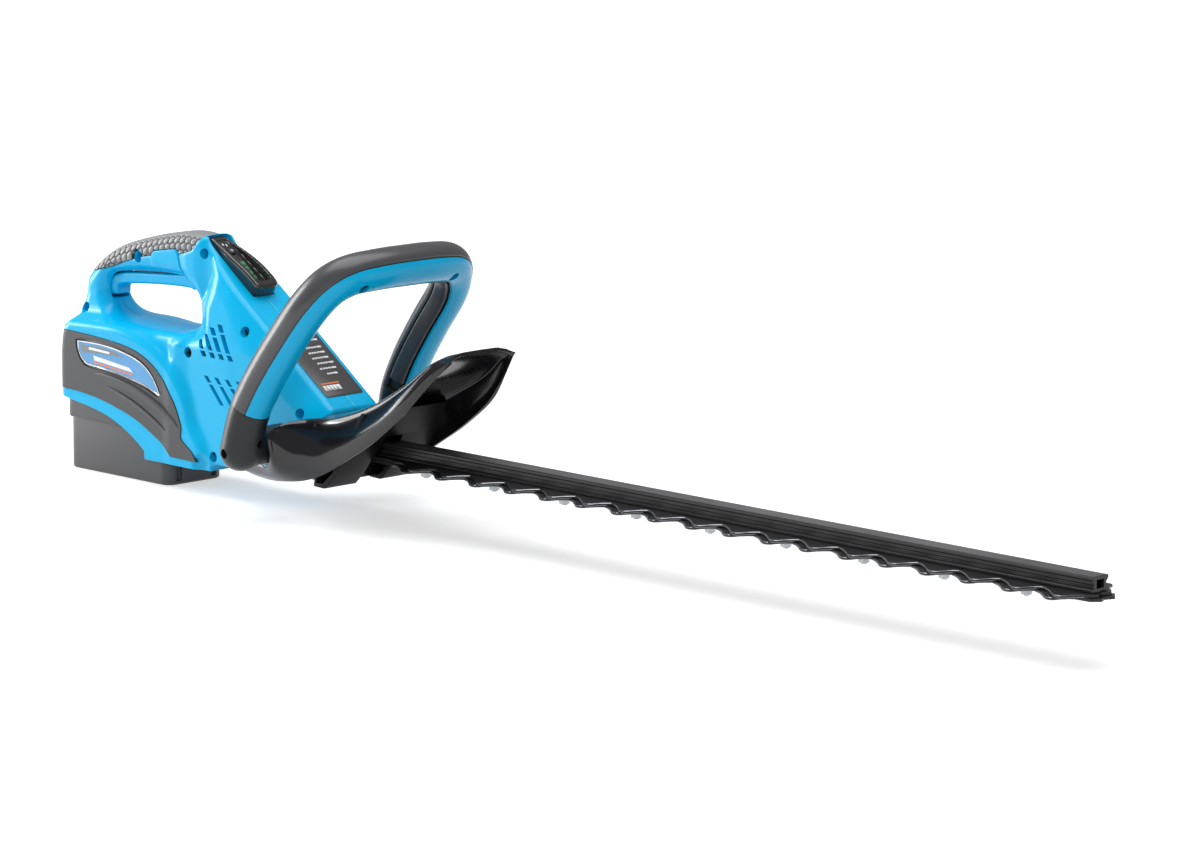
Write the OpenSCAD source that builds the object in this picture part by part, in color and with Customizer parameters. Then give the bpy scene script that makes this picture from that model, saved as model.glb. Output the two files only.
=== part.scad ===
// Cordless hedge trimmer, an assembly of separate pieces.
// Frame: millimetres, +X towards the blade tip, +Y to the operator's left, +Z up.
// The origin is the middle of the bounding box at the face the battery stands on.

/* [Housing] */
// Rear end of the housing, from the origin
housing_rear_x = -498; // [-500:1:-496]
// Half of the housing's width
housing_half = 35; // [34.5:0.5:36]
// Height of the underside of the motor section
housing_bottom_z = 24; // [23:0.5:25]
// Height of the flat top behind the motor section
deck_z = 118; // [117:0.5:119]
// Thickness of the moulded walls
wall = 3; // [2.6:0.1:3.2]

/* [Rear handle] */
// Half of the rear grip's width
grip_half = 15.5; // [15:0.5:16.5]
// Thickness of the soft grip cover
cover_t = 2.5; // [2:0.1:2.8]

/* [Front handle] */
// Outer radius of the front handle's tube
tube_r = 14.5; // [14:0.1:15]
// Wall thickness of the tube's half shells
tube_wall = 2.6; // [2.2:0.1:3]

/* [Blades] */
// Distance from one tooth to the next
tooth_pitch = 35; // [34:0.5:35]
// Number of teeth on each edge
tooth_count = 18; // [10:1:18]
// Thickness of one blade
blade_t = 2; // [1.6:0.1:2]
// Half of the width across the tooth tips
tooth_reach = 27; // [24:0.5:28]
// Half of the stroke of one blade
half_stroke = 8; // [6:0.5:8]

/* [Battery] */
// Height of the battery pack
pack_h = 79; // [78:0.5:79.5]
// Half of the pack's width below its ledge
pack_half = 27.8; // [27:0.1:28]

/* [Hidden] */
eps = 0.05;

blue = [0.05, 0.66, 0.88];
charcoal = [0.27, 0.28, 0.29];
black = [0.07, 0.07, 0.08];
rubber = [0.34, 0.34, 0.36];
steel = [0.75, 0.76, 0.78];

// Drive train
blade_z = 44.5;
blade_gap = 0.3;
upper_z = blade_z + blade_t + blade_gap;
gear_x = -273;
gear_teeth = 44;
pinion_teeth = 11;
gear_module = 1;
motor_x = gear_x - (gear_teeth + pinion_teeth) / 2 * gear_module - 0.1;
motor_r = 20.5;
motor_z0 = 70;
motor_z1 = 121;
cam_r = 12;
shaft_r = 3.96;
bearing_in = 4;
bearing_out = 8;
// At rest the upper blade is this far ahead of mid-stroke and the lower one behind it
rest_lead = 3.5;
cam_angle = acos(rest_lead / half_stroke);

// Blades and rail
first_tooth_x = -126;
bar_half = 13;
shank_half = 11;
first_bolt_x = -129.5;
bolt_pitch = 2 * tooth_pitch;
bolt_count = 9;
bolt_r = 2;
rail_x0 = -231;
rail_x1 = 491;
rail_z0 = 49.2;
rail_z1 = 59.5;
rail_half = 8;

// Gearbox
box_x0 = -318.5;
box_x1 = -215;
box_half = 30;
box_z0 = 28;
box_zmid = 49.1;
box_z1 = 63;

// Housing front
nose_x = -204;
front_top = [-354, 187.5];
nose_top = [-205, 79.5];
slope = (front_top[1] - nose_top[1]) / (front_top[0] - nose_top[0]);
slope_angle = atan(slope);

// Battery
pack_x0 = -496;
pack_x1 = -372;
pack_foot_x1 = -380;
pack_wide = 30.8;
ledge_z = 40;
lid_z = 62;
bay_half = 31.5;
bay_z = 81;

// Housing screws: x, z and depth of the recess in the right half
screw_spots = [
    [-427.9, 166.8, 6], [-351.2, 177.8, 6], [-486.3, 122.7, 6],
    [-353.6, 105.2, 25], [-291.5, 127.5, 16], [-324.3, 30.5, 22], [-229.5, 75, 17]
];
recess_r = 3.6;
screw_r = 1.9;

// Trigger
trigger_pivot = [-372, 162];

// Front handle: control points of the tube's centre line, right side, elbow first
handle_right = [
    [-243, -77, 52], [-239, -75.5, 70], [-234, -74.5, 84], [-220, -73, 108],
    [-201, -71.5, 134], [-180, -69.5, 160], [-167, -61.5, 177], [-158.5, -48, 185.5],
    [-153, -25, 188.5]
];
handle_steps = 3;
bar_pivot = [-229.5, 92];

function mirror_y(p) = [p[0], -p[1], p[2]];
function reversed(l) = [for (i = [len(l) - 1:-1:0]) l[i]];
function flat(l) = [for (a = l) for (b = a) b];
function unit(v) = v / norm(v);
function lerp(a, b, t) = a + (b - a) * t;
function blend4(a, b, c, d, t) =
    0.5 * (2 * b + (c - a) * t + (2 * a - 5 * b + 4 * c - d) * t * t
    + (3 * b - a - 3 * c + d) * t * t * t);
// A smooth curve through the points p, with n steps between neighbours
function spline(p, n) = let (m = len(p)) concat(
    [for (i = [0:m - 2]) for (k = [0:n - 1])
        blend4(i == 0 ? 2 * p[0] - p[1] : p[i - 1], p[i], p[i + 1],
            i == m - 2 ? 2 * p[m - 1] - p[m - 2] : p[i + 2], k / n)],
    [p[m - 1]]);

// A closed skin over rings of equal, even length. Point i of an end ring faces its partner
// at the other end of the list, so a thin or hooked ring is capped along its length.
module loft(rings) {
    n = len(rings[0]);
    m = len(rings);
    last = (m - 1) * n;
    walls = [for (j = [0:m - 2]) for (i = [0:n - 1])
        let (a = j * n + i, b = j * n + (i + 1) % n, c = b + n, d = a + n)
        each [[a, c, b], [a, d, c]]];
    caps = [for (i = [0:n / 2 - 2])
        let (a = i, b = i + 1, c = n - 2 - i, d = n - 1 - i)
        each [[a, b, c], [a, c, d], [last + a, last + c, last + b], [last + a, last + d, last + c]]];
    polyhedron(points = flat(rings), faces = concat(walls, caps), convexity = 8);
}

// A plate with its outline in X and Z, from y0 to y1
module side_plate(y0, y1, outline) {
    translate([0, y1, 0])
        rotate([90, 0, 0])
            linear_extrude(height = y1 - y0)
                polygon(outline);
}

// A box from corner a to corner b
module block(a, b) {
    translate(a)
        cube(b - a);
}

// A rod along Y at x, z from y0 to y1
module rod_y(x, z, y0, y1, r) {
    translate([x, y1, z])
        rotate([90, 0, 0])
            cylinder(h = y1 - y0, r = r, $fn = 48);
}

// A rod along Z
module rod_z(x, y, z0, z1, r) {
    translate([x, y, z0])
        cylinder(h = z1 - z0, r = r, $fn = 48);
}

// A rectangle with round corners
module round_rect(x0, y0, x1, y1, r) {
    translate([x0 + r, y0])
        square([x1 - x0 - 2 * r, y1 - y0]);
    translate([x0, y0 + r])
        square([x1 - x0, y1 - y0 - 2 * r]);
    for (x = [x0 + r, x1 - r], y = [y0 + r, y1 - r])
        translate([x, y])
            circle(r = r, $fn = 48);
}

module round_box(a, b, r) {
    translate([0, 0, a[2]])
        linear_extrude(height = b[2] - a[2])
            round_rect(a[0], a[1], b[0], b[1], r);
}

// ---------------------------------------------------------------- housing

// Height of the front face above x, lowered by drop along its normal
function front_z(x, drop = 0) = nose_top[1] + slope * (x - nose_top[0]) - drop / cos(slope_angle);

front_outline = [
    [-374, housing_bottom_z], [-374, 150], [-366, 187], front_top, nose_top,
    [nose_x, 72], [nose_x, 32], [-210, housing_bottom_z]
];
front_shoulder = [
    [-374, 29], [-374, 118], [-352, 150], [-330, 150], [-228, 76], [-206, 62],
    [-206, 34], [-213, 29]
];
rear_outline = [
    [housing_rear_x, 24], [housing_rear_x, 111], [-491, deck_z], [-366, deck_z + 1], [-366, 24]
];
rear_shoulder = [
    [housing_rear_x + 4, 24], [housing_rear_x + 4, 106], [-488, 112], [-366, 112], [-366, 24]
];
// Top of the grip from the back of the rear post to the display
grip_top = spline([
    [-497, 112], [-492, 132], [-488, 149], [-460, 169.5], [-420, 182], [-380, 190], [-352, 188.5]
], 4);
// Underside of the grip from the motor section round the finger opening
grip_under = spline([
    [-350, 116], [-355.5, 127], [-357, 139], [-363, 150], [-378, 157], [-410, 157.5],
    [-446, 153], [-464, 148], [-467, 138], [-459, 125], [-446, 116]
], 4);
grip_outline = concat(grip_top, [[-344, 118]], grip_under);
// Lower edge of the blue skirt over the battery, from the rear
skirt_edge = spline([
    [-502, 57.5], [-466, 52.5], [-436, 45.5], [-411, 33.6], [-399.5, 25.5]
], 4);
panel_top = spline([
    [-494, 107], [-441, 104.6], [-404, 98], [-379, 83.8], [-362.5, 63.4], [-356.5, 49]
], 4);
panel_low = spline([
    [-368.8, 27.5], [-391.6, 40.5], [-424, 52.8], [-461, 60.2], [-494, 62.5]
], 4);
panel_outline = concat(panel_top, [[-357, 41], [-340.5, 27.5]], panel_low);

module bevelled(outer, shoulder, inner_y, outer_y) {
    hull() {
        side_plate(-inner_y, inner_y, outer);
        side_plate(-outer_y, outer_y, shoulder);
    }
}

module grip_bar() {
    side_plate(-12, 12, grip_outline);
    intersection() {
        side_plate(-grip_half, grip_half, grip_outline);
        translate([0, 0, -2.5])
            side_plate(-grip_half, grip_half, concat(grip_top, [[-340, 100], [-500, 100]]));
    }
}

// The finger opening reaches into the motor section, and beside it the body
// narrows to the width of the grip
module waist_cuts() {
    side_plate(-60, 60, [
        [-380, deck_z + 1], [-362, deck_z + 1], [-357, 123], [-355.5, 128], [-356, 138],
        [-360, 146], [-368, 151], [-380, 152]
    ]);
    for (s = [-1, 1])
        scale([1, s, 1])
            translate([0, 0, deck_z + 3])
                linear_extrude(height = 80)
                    polygon([[-380, 13], [-357, 13], [-333, 33], [-328, 50], [-380, 50]]);
}

module housing_cavity() {
    // battery bay
    block([-510, -bay_half, -1], [-369.5, bay_half, bay_z]);
    // room for the controller over the bay
    block([-494, -27, 84], [-372, 27, 114.5]);
    block([-490, -bay_half, 84], [-372, bay_half, 107]);
    // motor section
    side_plate(-21.6, 21.6, [
        [-363, 27], [-363, 114], [-348, 115], [-338, 119], [-333, 150], [-340, front_z(-340, wall + 3)],
        [-208, front_z(-208, wall)], [-208, 27]
    ]);
    side_plate(-bay_half, bay_half, [
        [-363, 31], [-363, 112], [-345, 116], [-330, 119], [-319, 132], [-232, 73.5], [-211, 63.6], [-211, 31]
    ]);
    block([-330, -30.2, 27.8], [-212, 30.2, 40]);
    // blade and rail opening in the nose
    block([-215, -13, 43], [-200, 13, 61]);
    // trigger channel in the grip and its rear post
    side_plate(-8.2, 8.2, [
        [-367, 150], [-367, 168], [-378, 176], [-385, 176], [-441, 166.5], [-460, 161.5],
        [-468, 157.5], [-475.5, 150], [-476.5, 142], [-476.5, 131], [-456, 131], [-456, 142],
        [-430, 148], [-390, 151]
    ]);
    // display pocket
    translate([front_top[0], 0, front_top[1]])
        rotate([0, -slope_angle, 0])
            {
                block([-2, -10.8, -1.6], [63.5, 10.8, 10]);
                block([13, -10.8, -8.5], [63.5, 10.8, 10]);
            }
}

vent_lean = 15;
module vents() {
    for (i = [0:3]) {
        x = -336.5 + 10.2 * i;
        top = [116, 121.5, 126.5, 129][i];
        for (span = [[104.5, 108.5], [109.7, top]])
            side_plate(-60, 60, [
                [x - vent_lean * (span[0] - 104) / 25, span[0]],
                [x - vent_lean * (span[1] - 104) / 25, span[1]],
                [x + 5.3 - vent_lean * (span[1] - 104) / 25, span[1]],
                [x + 5.3 - vent_lean * (span[0] - 104) / 25, span[0]]
            ]);
    }
    for (i = [0:3]) {
        x = -334 + 11.3 * i;
        for (span = [[70.5, 84.3], [85.5, 90]])
            side_plate(-60, 60, [
                [x + 17 - (span[0] - 70) * 0.9, span[0]], [x + 17 - (span[1] - 70) * 0.9, span[1]],
                [x + 21.6 - (span[1] - 70) * 0.9, span[1]], [x + 21.6 - (span[0] - 70) * 0.9, span[0]]
            ]);
    }
}

module screw_bosses() {
    for (s = screw_spots)
        rod_y(s[0], s[1], -housing_half + 1, housing_half - 1, s[1] > 170 ? 4.6 : 5.2);
}

module screw_holes() {
    for (s = screw_spots) {
        rod_y(s[0], s[1], -60, -s[2], recess_r);
        rod_y(s[0], s[1], -s[2] - 1, 14, screw_r + 0.05);
    }
}

module housing_body() {
    difference() {
        union() {
            difference() {
                union() {
                    bevelled(rear_outline, rear_shoulder, 29, housing_half);
                    difference() {
                        bevelled(front_outline, front_shoulder, 24, housing_half);
                        waist_cuts();
                    }
                    grip_bar();
                }
                housing_cavity();
                vents();
            }
            intersection() {
                screw_bosses();
                union() {
                    difference() {
                        bevelled(front_outline, front_shoulder, 24, housing_half);
                        waist_cuts();
                    }
                    grip_bar();
                }
                block([-500, -40, 26], [-205, 40, 190]);
            }
        }
        // below the skirts the battery is bare
        side_plate(-50, 50, concat(skirt_edge, [[-399.5, 20], [-510, 20]]));
        // seats for the side panels
        for (s = [-1, 1])
            scale([1, s, 1])
                side_plate(housing_half - 1.8, 60, panel_outline);
        screw_holes();
        // elbows of the front handle
        rod_y(-243, 54, -60, -bay_half + 1, 8.2);
        rod_y(-243, 54, bay_half - 1, 60, 8.2);
        // seat of the soft grip cover
        cover_seat();
        guard_screw_holes();
        rod_y(trigger_pivot[0], trigger_pivot[1], -11.2, 11.2, 2.05);
    }
}

// Lower border of the soft cover, from behind the rear post to above the display
cover_line = [[-495, 149.5], [-479, 152], [-440, 163.5], [-400, 172], [-372, 175.5], [-366, 177], [-357.5, 192]];

module cover_region() {
    side_plate(-30, 30, concat(cover_line, [[-357.5, 200], [-495, 200]]));
}

// What the cover is moulded over
module grip_core(slack) {
    translate([0, 0, slack - cover_t])
        side_plate(-grip_half + cover_t - slack, grip_half - cover_t + slack,
            concat(grip_top, [[-340, 188], [-340, 100], [-500, 100]]));
}

module cover_seat() {
    difference() {
        cover_region();
        grip_core(0);
    }
}

module housing_right() {
    color(blue)
        intersection() {
            housing_body();
            block([-520, -60, 0], [-190, -eps / 2, 200]);
        }
}

module housing_left() {
    color(blue)
        intersection() {
            housing_body();
            block([-520, eps / 2, 0], [-190, 60, 200]);
        }
}

module side_panel(s) {
    scale([1, s, 1]) {
        difference() {
            side_plate(housing_half - 1.7, housing_half + 1, panel_outline);
            side_plate(housing_half, housing_half + 2, badge_outline);
        }
        // two raised crescent ridges under the badge
        side_plate(housing_half + 1, housing_half + 2.2, ridge(0, 5));
        side_plate(housing_half + 1, housing_half + 1.8, ridge(-7, 4));
    }
}

// A crescent that starts behind, runs forward and down, and ends in a point
function ridge(lower, thick) = concat(
    spline([[-457, 78 + lower], [-425, 74 + lower], [-392, 62 + lower], [-360, 45 + lower * 0.2]], 4),
    spline([[-392, 62 + lower - thick], [-425, 74 + lower - thick * 0.7], [-457, 78 + lower]], 4));

badge_outline = concat(
    spline([[-477, 100], [-450, 100.5], [-428, 98.5], [-404, 93], [-390, 83.5], [-381, 70]], 4),
    spline([[-400, 76], [-430, 81], [-455, 82.5], [-468, 84.5], [-475, 92]], 3));

module side_panel_right() {
    color(charcoal)
        side_panel(-1);
}

module side_panel_left() {
    color(charcoal)
        side_panel(1);
}

module badge(s) {
    scale([1, s, 1])
        side_plate(housing_half + eps, housing_half + 0.8,
            [for (p = badge_outline) [-430 + (p[0] + 430) * 0.97, 88 + (p[1] - 88) * 0.93]]);
}

module badge_right() {
    color("silver")
        badge(-1);
}

module badge_left() {
    color("silver")
        badge(1);
}

module rear_grip_cover() {
    color(rubber)
        difference() {
            intersection() {
                side_plate(-grip_half - 0.6, grip_half + 0.6,
                    concat(grip_top, [[-340, 188], [-340, 100], [-500, 100]]));
                cover_region();
            }
            grip_core(eps);
            rod_y(screw_spots[0][0], screw_spots[0][1], -60, 60, 5.4);
            side_plate(-60, 60, [[-420, 150], [-420, 172], [-386, 178], [-386, 150]]);
            rod_y(screw_spots[1][0], screw_spots[1][1], -60, 60, 5.4);
        }
}

module housing_screws() {
    color(steel)
        for (s = screw_spots) {
            rod_y(s[0], s[1], -s[2] - 0.5, 13.5, screw_r);
            difference() {
                rod_y(s[0], s[1], -s[2] - 2.4, -s[2] - 0.02, 3.3);
                rod_y(s[0], s[1], -s[2] - 3, -s[2] - 1, 1.5);
            }
        }
}

// ---------------------------------------------------------------- display

module on_front_face() {
    translate([front_top[0], 0, front_top[1]])
        rotate([0, -slope_angle, 0])
            children();
}

module display_bezel() {
    color(black)
        on_front_face()
            difference() {
                rotate([90, 0, 0])
                    translate([0, 0, -10.5])
                        linear_extrude(height = 21)
                            polygon([
                                [-1.5, -1.5], [-1.5, 1.5], [20, 5.5], [45, 8.5], [63, 8.2], [63, -4],
                                [13.1, -4], [13.1, -1.5]
                            ]);
                block([8, -7.5, 1.5], [56, 7.5, 20]);
                translate([17, 0, -10])
                    cylinder(h = 20, r = 3.9, $fn = 48);
                block([28, -4, -10], [50, 4, 5]);
            }
}

module display_button() {
    color(charcoal)
        on_front_face() {
            translate([17, 0, -3.7])
                cylinder(h = 7.2, r = 3.5, $fn = 48);
            translate([17, 0, -5])
                cylinder(h = 1.4 - eps, r = 2, $fn = 48);
        }
}

module display_lights() {
    color("limegreen")
        on_front_face()
            for (i = [0:3])
                block([29 + 5.2 * i, -3.4, -3.9], [32.4 + 5.2 * i, 3.4, 2.3]);
}

module display_board() {
    color("darkgreen")
        on_front_face()
            block([14.5, -9.5, -8.3], [60, 9.5, -6.7]);
}

module rating_plate() {
    color(charcoal)
        on_front_face()
            translate([0, 0, 0.05])
                linear_extrude(height = 0.5)
                    polygon([[104, -18.6], [104, 18.6], [172, 18.6], [172, -18.6]]);
}

// ---------------------------------------------------------------- trigger

module trigger() {
    color(blue)
        difference() {
            union() {
                side_plate(-7.6, 7.6, concat(
                    spline([
                        [-374, 149.5], [-403, 147.8], [-435, 145.6], [-457, 143], [-462.5, 140],
                        [-462, 134]
                    ], 4),
                    [[-472, 133], [-473, 142], [-468, 147.5], [-456, 152], [-430, 154.5],
                     [-385, 157.5], [-368.5, 160], [-368.5, 154]]));
                rod_y(trigger_pivot[0], trigger_pivot[1], -7.6, 7.6, 4.5);
            }
            rod_y(trigger_pivot[0], trigger_pivot[1], -12, 12, 2.05);
        }
}

module trigger_switch() {
    color(black) {
        difference() {
            side_plate(-6, 6, [[-418, 163], [-418, 169.8], [-405, 172.5], [-390, 174.4], [-390, 163]]);
            rod_y(-398, 168, -10, 10, 1.2);
        }
        rod_y(trigger_pivot[0], trigger_pivot[1], -11.1, 11.1, 2);
    }
}

module trigger_spring() {
    color(steel)
        for (i = [0:1])
            translate([-446, 0, 161.4 + 1.3 * i])
                rotate_extrude($fn = 48)
                    translate([3, 0])
                        circle(r = 0.5, $fn = 16);
}

// ---------------------------------------------------------------- electronics

module controller_board() {
    color("darkgreen")
        block([-480, -24, 88], [-392, 24, 89.6]);
    color("silver")
        block([-470, -20, 89.6], [-436, 20, 104]);
    color(black) {
        rod_z(-420, -12, 89.6, 106, 8);
        rod_z(-420, 12, 89.6, 106, 8);
        for (y = [-18, 18])
            block([-482, y - 3, 84.05], [-476, y + 3, 88]);
    }
}

module terminal_block() {
    color(black)
        difference() {
            block([-385, -15, 70], [-371, 15, bay_z - eps]);
            for (y = [-9, 0, 9])
                block([-386, y - 1, 69], [-374, y + 1, 77]);
        }
}

// ---------------------------------------------------------------- motor and gears

module motor_can() {
    color(steel)
        difference() {
            rod_z(motor_x, 0, motor_z0, motor_z1, motor_r);
            rod_z(motor_x, 0, motor_z0 + 1.5, motor_z1 - 1.5, motor_r - 1.5);
            rod_z(motor_x, 0, motor_z0 - 5, motor_z1 + 5, 2.55);
        }
}

module motor_magnets() {
    color(charcoal)
        difference() {
            rod_z(motor_x, 0, motor_z0 + 8, motor_z1 - 8, motor_r - 1.55);
            rod_z(motor_x, 0, motor_z0, motor_z1, 15.2);
            block([motor_x - 40, -5, motor_z0], [motor_x + 40, 5, motor_z1]);
        }
}

module motor_rotor() {
    color(steel)
        rod_z(motor_x, 0, 50.3, motor_z1 + 2.5, 2.5);
    color("peru")
        difference() {
            rod_z(motor_x, 0, motor_z0 + 10, motor_z1 - 14, 14);
            for (a = [0:45:315])
                translate([motor_x, 0, motor_z0])
                    rotate([0, 0, a])
                        block([8, -1.2, 0], [20, 1.2, 60]);
        }
    color("goldenrod")
        rod_z(motor_x, 0, motor_z1 - 13, motor_z1 - 5, 7);
}

// Straight-sided teeth with room for backlash
module toothed_wheel(teeth, z0, z1, turn) {
    pitch_r = teeth * gear_module / 2;
    root_r = pitch_r - 1.05 * gear_module;
    tip_r = pitch_r + 0.75 * gear_module;
    translate([0, 0, z0])
        linear_extrude(height = z1 - z0)
            polygon([for (i = [0:teeth - 1])
                for (k = [[-0.30, root_r], [-0.11, tip_r], [0.11, tip_r], [0.30, root_r]])
                    let (a = turn + (i + k[0]) * 360 / teeth)
                    [k[1] * cos(a), k[1] * sin(a)]]);
}

module pinion() {
    color(steel)
        difference() {
            translate([motor_x, 0, 0])
                toothed_wheel(pinion_teeth, 50.3, 57.3, 180 / pinion_teeth);
            rod_z(motor_x, 0, 49, 60, 2.52);
        }
}

module fan() {
    color(black)
        difference() {
            union() {
                rod_z(motor_x, 0, 64, 69.4, 5);
                rod_z(motor_x, 0, 64, 65, 18);
                for (a = [0:40:320])
                    translate([motor_x, 0, 64.5])
                        rotate([0, 0, a])
                            block([4, -0.6, 0], [18, 0.6, 4.7]);
            }
            rod_z(motor_x, 0, 60, 75, 2.52);
        }
}

module drive_gear() {
    color(steel) {
        translate([gear_x, 0, 0])
            difference() {
                toothed_wheel(gear_teeth, 50.4, 56.4, 0);
                for (a = [0:60:300])
                    rotate([0, 0, a])
                        translate([13.5, 0, 45])
                            cylinder(h = 20, r = 3.5, $fn = 32);
            }
        rod_z(gear_x, 0, 33.3, 62.6, shaft_r);
        for (c = [[0, upper_z - 0.1, 1], [180, blade_z - 0.3, 0]])
            translate([gear_x + half_stroke * cos(cam_angle + c[0]), half_stroke * sin(cam_angle + c[0]), c[1]])
                cylinder(h = c[2] == 1 ? 3.7 : 2.6, r = cam_r, $fn = 64);
    }
}

module bearing(z0, z1) {
    color("lightgray")
        difference() {
            rod_z(gear_x, 0, z0, z1, bearing_out);
            rod_z(gear_x, 0, z0 - 1, z1 + 1, bearing_in);
        }
}

module upper_bearing() {
    bearing(58, 62.9);
}

module lower_bearing() {
    bearing(33, 38);
}

module gearbox_base() {
    color("dimgray")
        difference() {
            union() {
                difference() {
                    block([box_x0, -box_half, box_z0], [box_x1, box_half, box_zmid]);
                    block([box_x0 + 3, -26.4, 31], [-230, 26.4, 60]);
                }
                rod_z(gear_x, 0, 30, 38, 12);
            }
            rod_z(gear_x, 0, 33, 45, bearing_out + 0.02);
            block([-235, -11.6, 43.9], [-200, 11.6, 60]);
        }
}

module gearbox_cover() {
    color("dimgray")
        difference() {
            block([box_x0, -box_half, box_zmid + eps], [box_x1, box_half, box_z1]);
            block([box_x0 + 3, -26.4, 45], [-243, 26.4, 57.4]);
            rod_z(gear_x, 0, 58, 70, bearing_out + 0.02);
            rod_z(gear_x, 0, 50, 70, 5.5);
            rod_z(motor_x, 0, 50, 70, 8);
            block([-231.1, -rail_half - 0.1, 40], [-200, rail_half + 0.1, rail_z1 + 0.1]);
            for (x = rail_screw_x)
                rod_z(x, 0, 50, 80, 2);
        }
}

rail_screw_x = [-227, -219];

// ---------------------------------------------------------------- rail and blades

function bolt_x(i) = first_bolt_x + bolt_pitch * i;

module rail() {
    half = [
        [rail_half, rail_z0], [rail_half, 51.4], [6.2, 52.6], [5.6, 55.8], [rail_half, 57.2],
        [rail_half, rail_z1]
    ];
    color(black)
        difference() {
            translate([rail_x0, 0, 0])
                rotate([90, 0, 90])
                    linear_extrude(height = rail_x1 - rail_x0)
                        difference() {
                            polygon(concat(half, [for (p = reversed(half)) [-p[0], p[1]]]));
                            translate([-3.6, 51.5])
                                square([7.2, 5.8]);
                        }
            for (i = [0:bolt_count - 1])
                rod_z(bolt_x(i), 0, 48, 52, bolt_r + 0.05);
            for (x = rail_screw_x)
                rod_z(x, 0, 55, 62, 2);
        }
}

module rail_screws() {
    color(steel)
        for (x = rail_screw_x) {
            rod_z(x, 0, 53, box_z1 + eps, 1.95);
            difference() {
                rod_z(x, 0, box_z1, box_z1 + 2.6, 3.4);
                rod_z(x, 0, box_z1 + 1, box_z1 + 4, 1.5);
            }
        }
}

// One tooth with its tip at x = 0 on the edge y > 0, raked and hooked forward
tooth = [[-21.5, bar_half], [-9, 21], [-2, tooth_reach - 0.6], [1.5, tooth_reach],
    [4.5, tooth_reach - 2], [7, 20.5], [10, 15.5], [12.5, bar_half]];

// lead is how far this blade is ahead of mid-stroke, end the place of its tip
module blade(z0, lead, end) {
    yoke_x = gear_x + lead;
    edge = concat(
        [[yoke_x - 33.5, 25.6], [yoke_x + 33.5, 25.6], [yoke_x + 33.5, shank_half],
            [-160, shank_half], [-151, bar_half]],
        [for (i = [0:tooth_count - 1]) for (p = tooth)
            [first_tooth_x + tooth_pitch * i + lead + rest_lead + p[0], p[1]]],
        [[end - 5, bar_half - 0.5], [end, 6.5]]);
    translate([0, 0, z0])
        linear_extrude(height = blade_t)
            difference() {
                polygon(concat(edge, [[end - 3, 0]], [for (p = reversed(edge)) [p[0], -p[1]]]));
                // the window that the cam turns in
                translate([yoke_x - 28.5, -20.5])
                    square([57, 41]);
                for (i = [0:bolt_count - 1]) {
                    x = bolt_x(i) + lead;
                    translate([x - half_stroke, -bolt_r - 0.35])
                        square([2 * half_stroke, 2 * bolt_r + 0.7]);
                    for (e = [-half_stroke, half_stroke])
                        translate([x + e, 0])
                            circle(r = bolt_r + 0.35, $fn = 32);
                }
            }
}

module upper_blade() {
    color(charcoal)
        blade(upper_z, rest_lead, 495);
}

module lower_blade() {
    color(black)
        blade(blade_z, -rest_lead, 498);
}

module blade_bolts() {
    color(steel)
        for (i = [0:bolt_count - 1]) {
            rod_z(bolt_x(i), 0, 37.6, 51.6, bolt_r);
            translate([bolt_x(i), 0, 51.55])
                cylinder(h = 2.6, r = 3.5, $fn = 6);
        }
}

module blade_nuts() {
    color("gainsboro")
        for (i = [0:bolt_count - 1])
            difference() {
                union() {
                    translate([bolt_x(i), 0, 38.6])
                        cylinder(h = 4.2, r = 4, $fn = 6);
                    rod_z(bolt_x(i), 0, 42.75, 44.1, 5.5);
                }
                rod_z(bolt_x(i), 0, 30, 50, bolt_r + 0.02);
            }
}

// ---------------------------------------------------------------- front handle

handle_controls = concat(handle_right, [[-152, 0, 189]], [for (p = reversed(handle_right)) mirror_y(p)]);
handle_curve = spline(handle_controls, handle_steps);
collar_i = 2 * handle_steps;
last_i = len(handle_curve) - 1;

// How far the handle's plane leans, as an angle from level, at height z
function lean(z) = lerp(76, 52, min(1, max(0, (z - 54) / 90)));
function tangent(i) = unit(handle_curve[min(i + 1, last_i)] - handle_curve[max(i - 1, 0)]);
function forward(i) = let (a = lean(handle_curve[i][2]), f = [sin(a), 0, -cos(a)], t = tangent(i))
    unit(f - (f * t) * t);
function inward(i) = cross(tangent(i), forward(i));
// The point that is u inward and v forward of the centre line
function tube_point(i, u, v) = handle_curve[i] + u * inward(i) + v * forward(i);
// A ring between two radii from angle a0 to a1, where 0 is forward and 90 is inward
function tube_arc(i, r0, r1, a0, a1, n) = concat(
    [for (k = [0:n]) let (a = lerp(a0, a1, k / n)) tube_point(i, r1 * sin(a), r1 * cos(a))],
    [for (k = [n:-1:0]) let (a = lerp(a0, a1, k / n)) tube_point(i, r0 * sin(a), r0 * cos(a))]);

module handle_front_shell() {
    color(blue)
        difference() {
            loft([for (i = [collar_i:last_i - collar_i]) tube_arc(i, tube_r - tube_wall, tube_r, -58, 37, 8)]);
            handle_recesses();
        }
}

module handle_rear_shell() {
    color(rubber)
        loft([for (i = [collar_i:last_i - collar_i])
            tube_arc(i, tube_r - tube_wall, tube_r + 0.5, 101, 300, 10)]);
}

// The screws that close the handle's two shells, as indices on the centre line
handle_screw_i = [22, last_i - 22];

module at_handle(i) {
    p = handle_curve[i];
    f = forward(i);
    translate(p)
        rotate([0, acos(f[2]), atan2(f[1], f[0])])
            children();
}

module handle_recesses() {
    for (i = handle_screw_i)
        at_handle(i)
            translate([0, 0, 5])
                cylinder(h = 20, r = 3.4, $fn = 48);
}

module handle_screws() {
    color(steel)
        for (i = handle_screw_i)
            at_handle(i) {
                translate([0, 0, -8])
                    cylinder(h = 14, r = 1.8, $fn = 32);
                translate([0, 0, 6 - eps])
                    cylinder(h = 2.4, r = 3.1, $fn = 48);
            }
}

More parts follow.
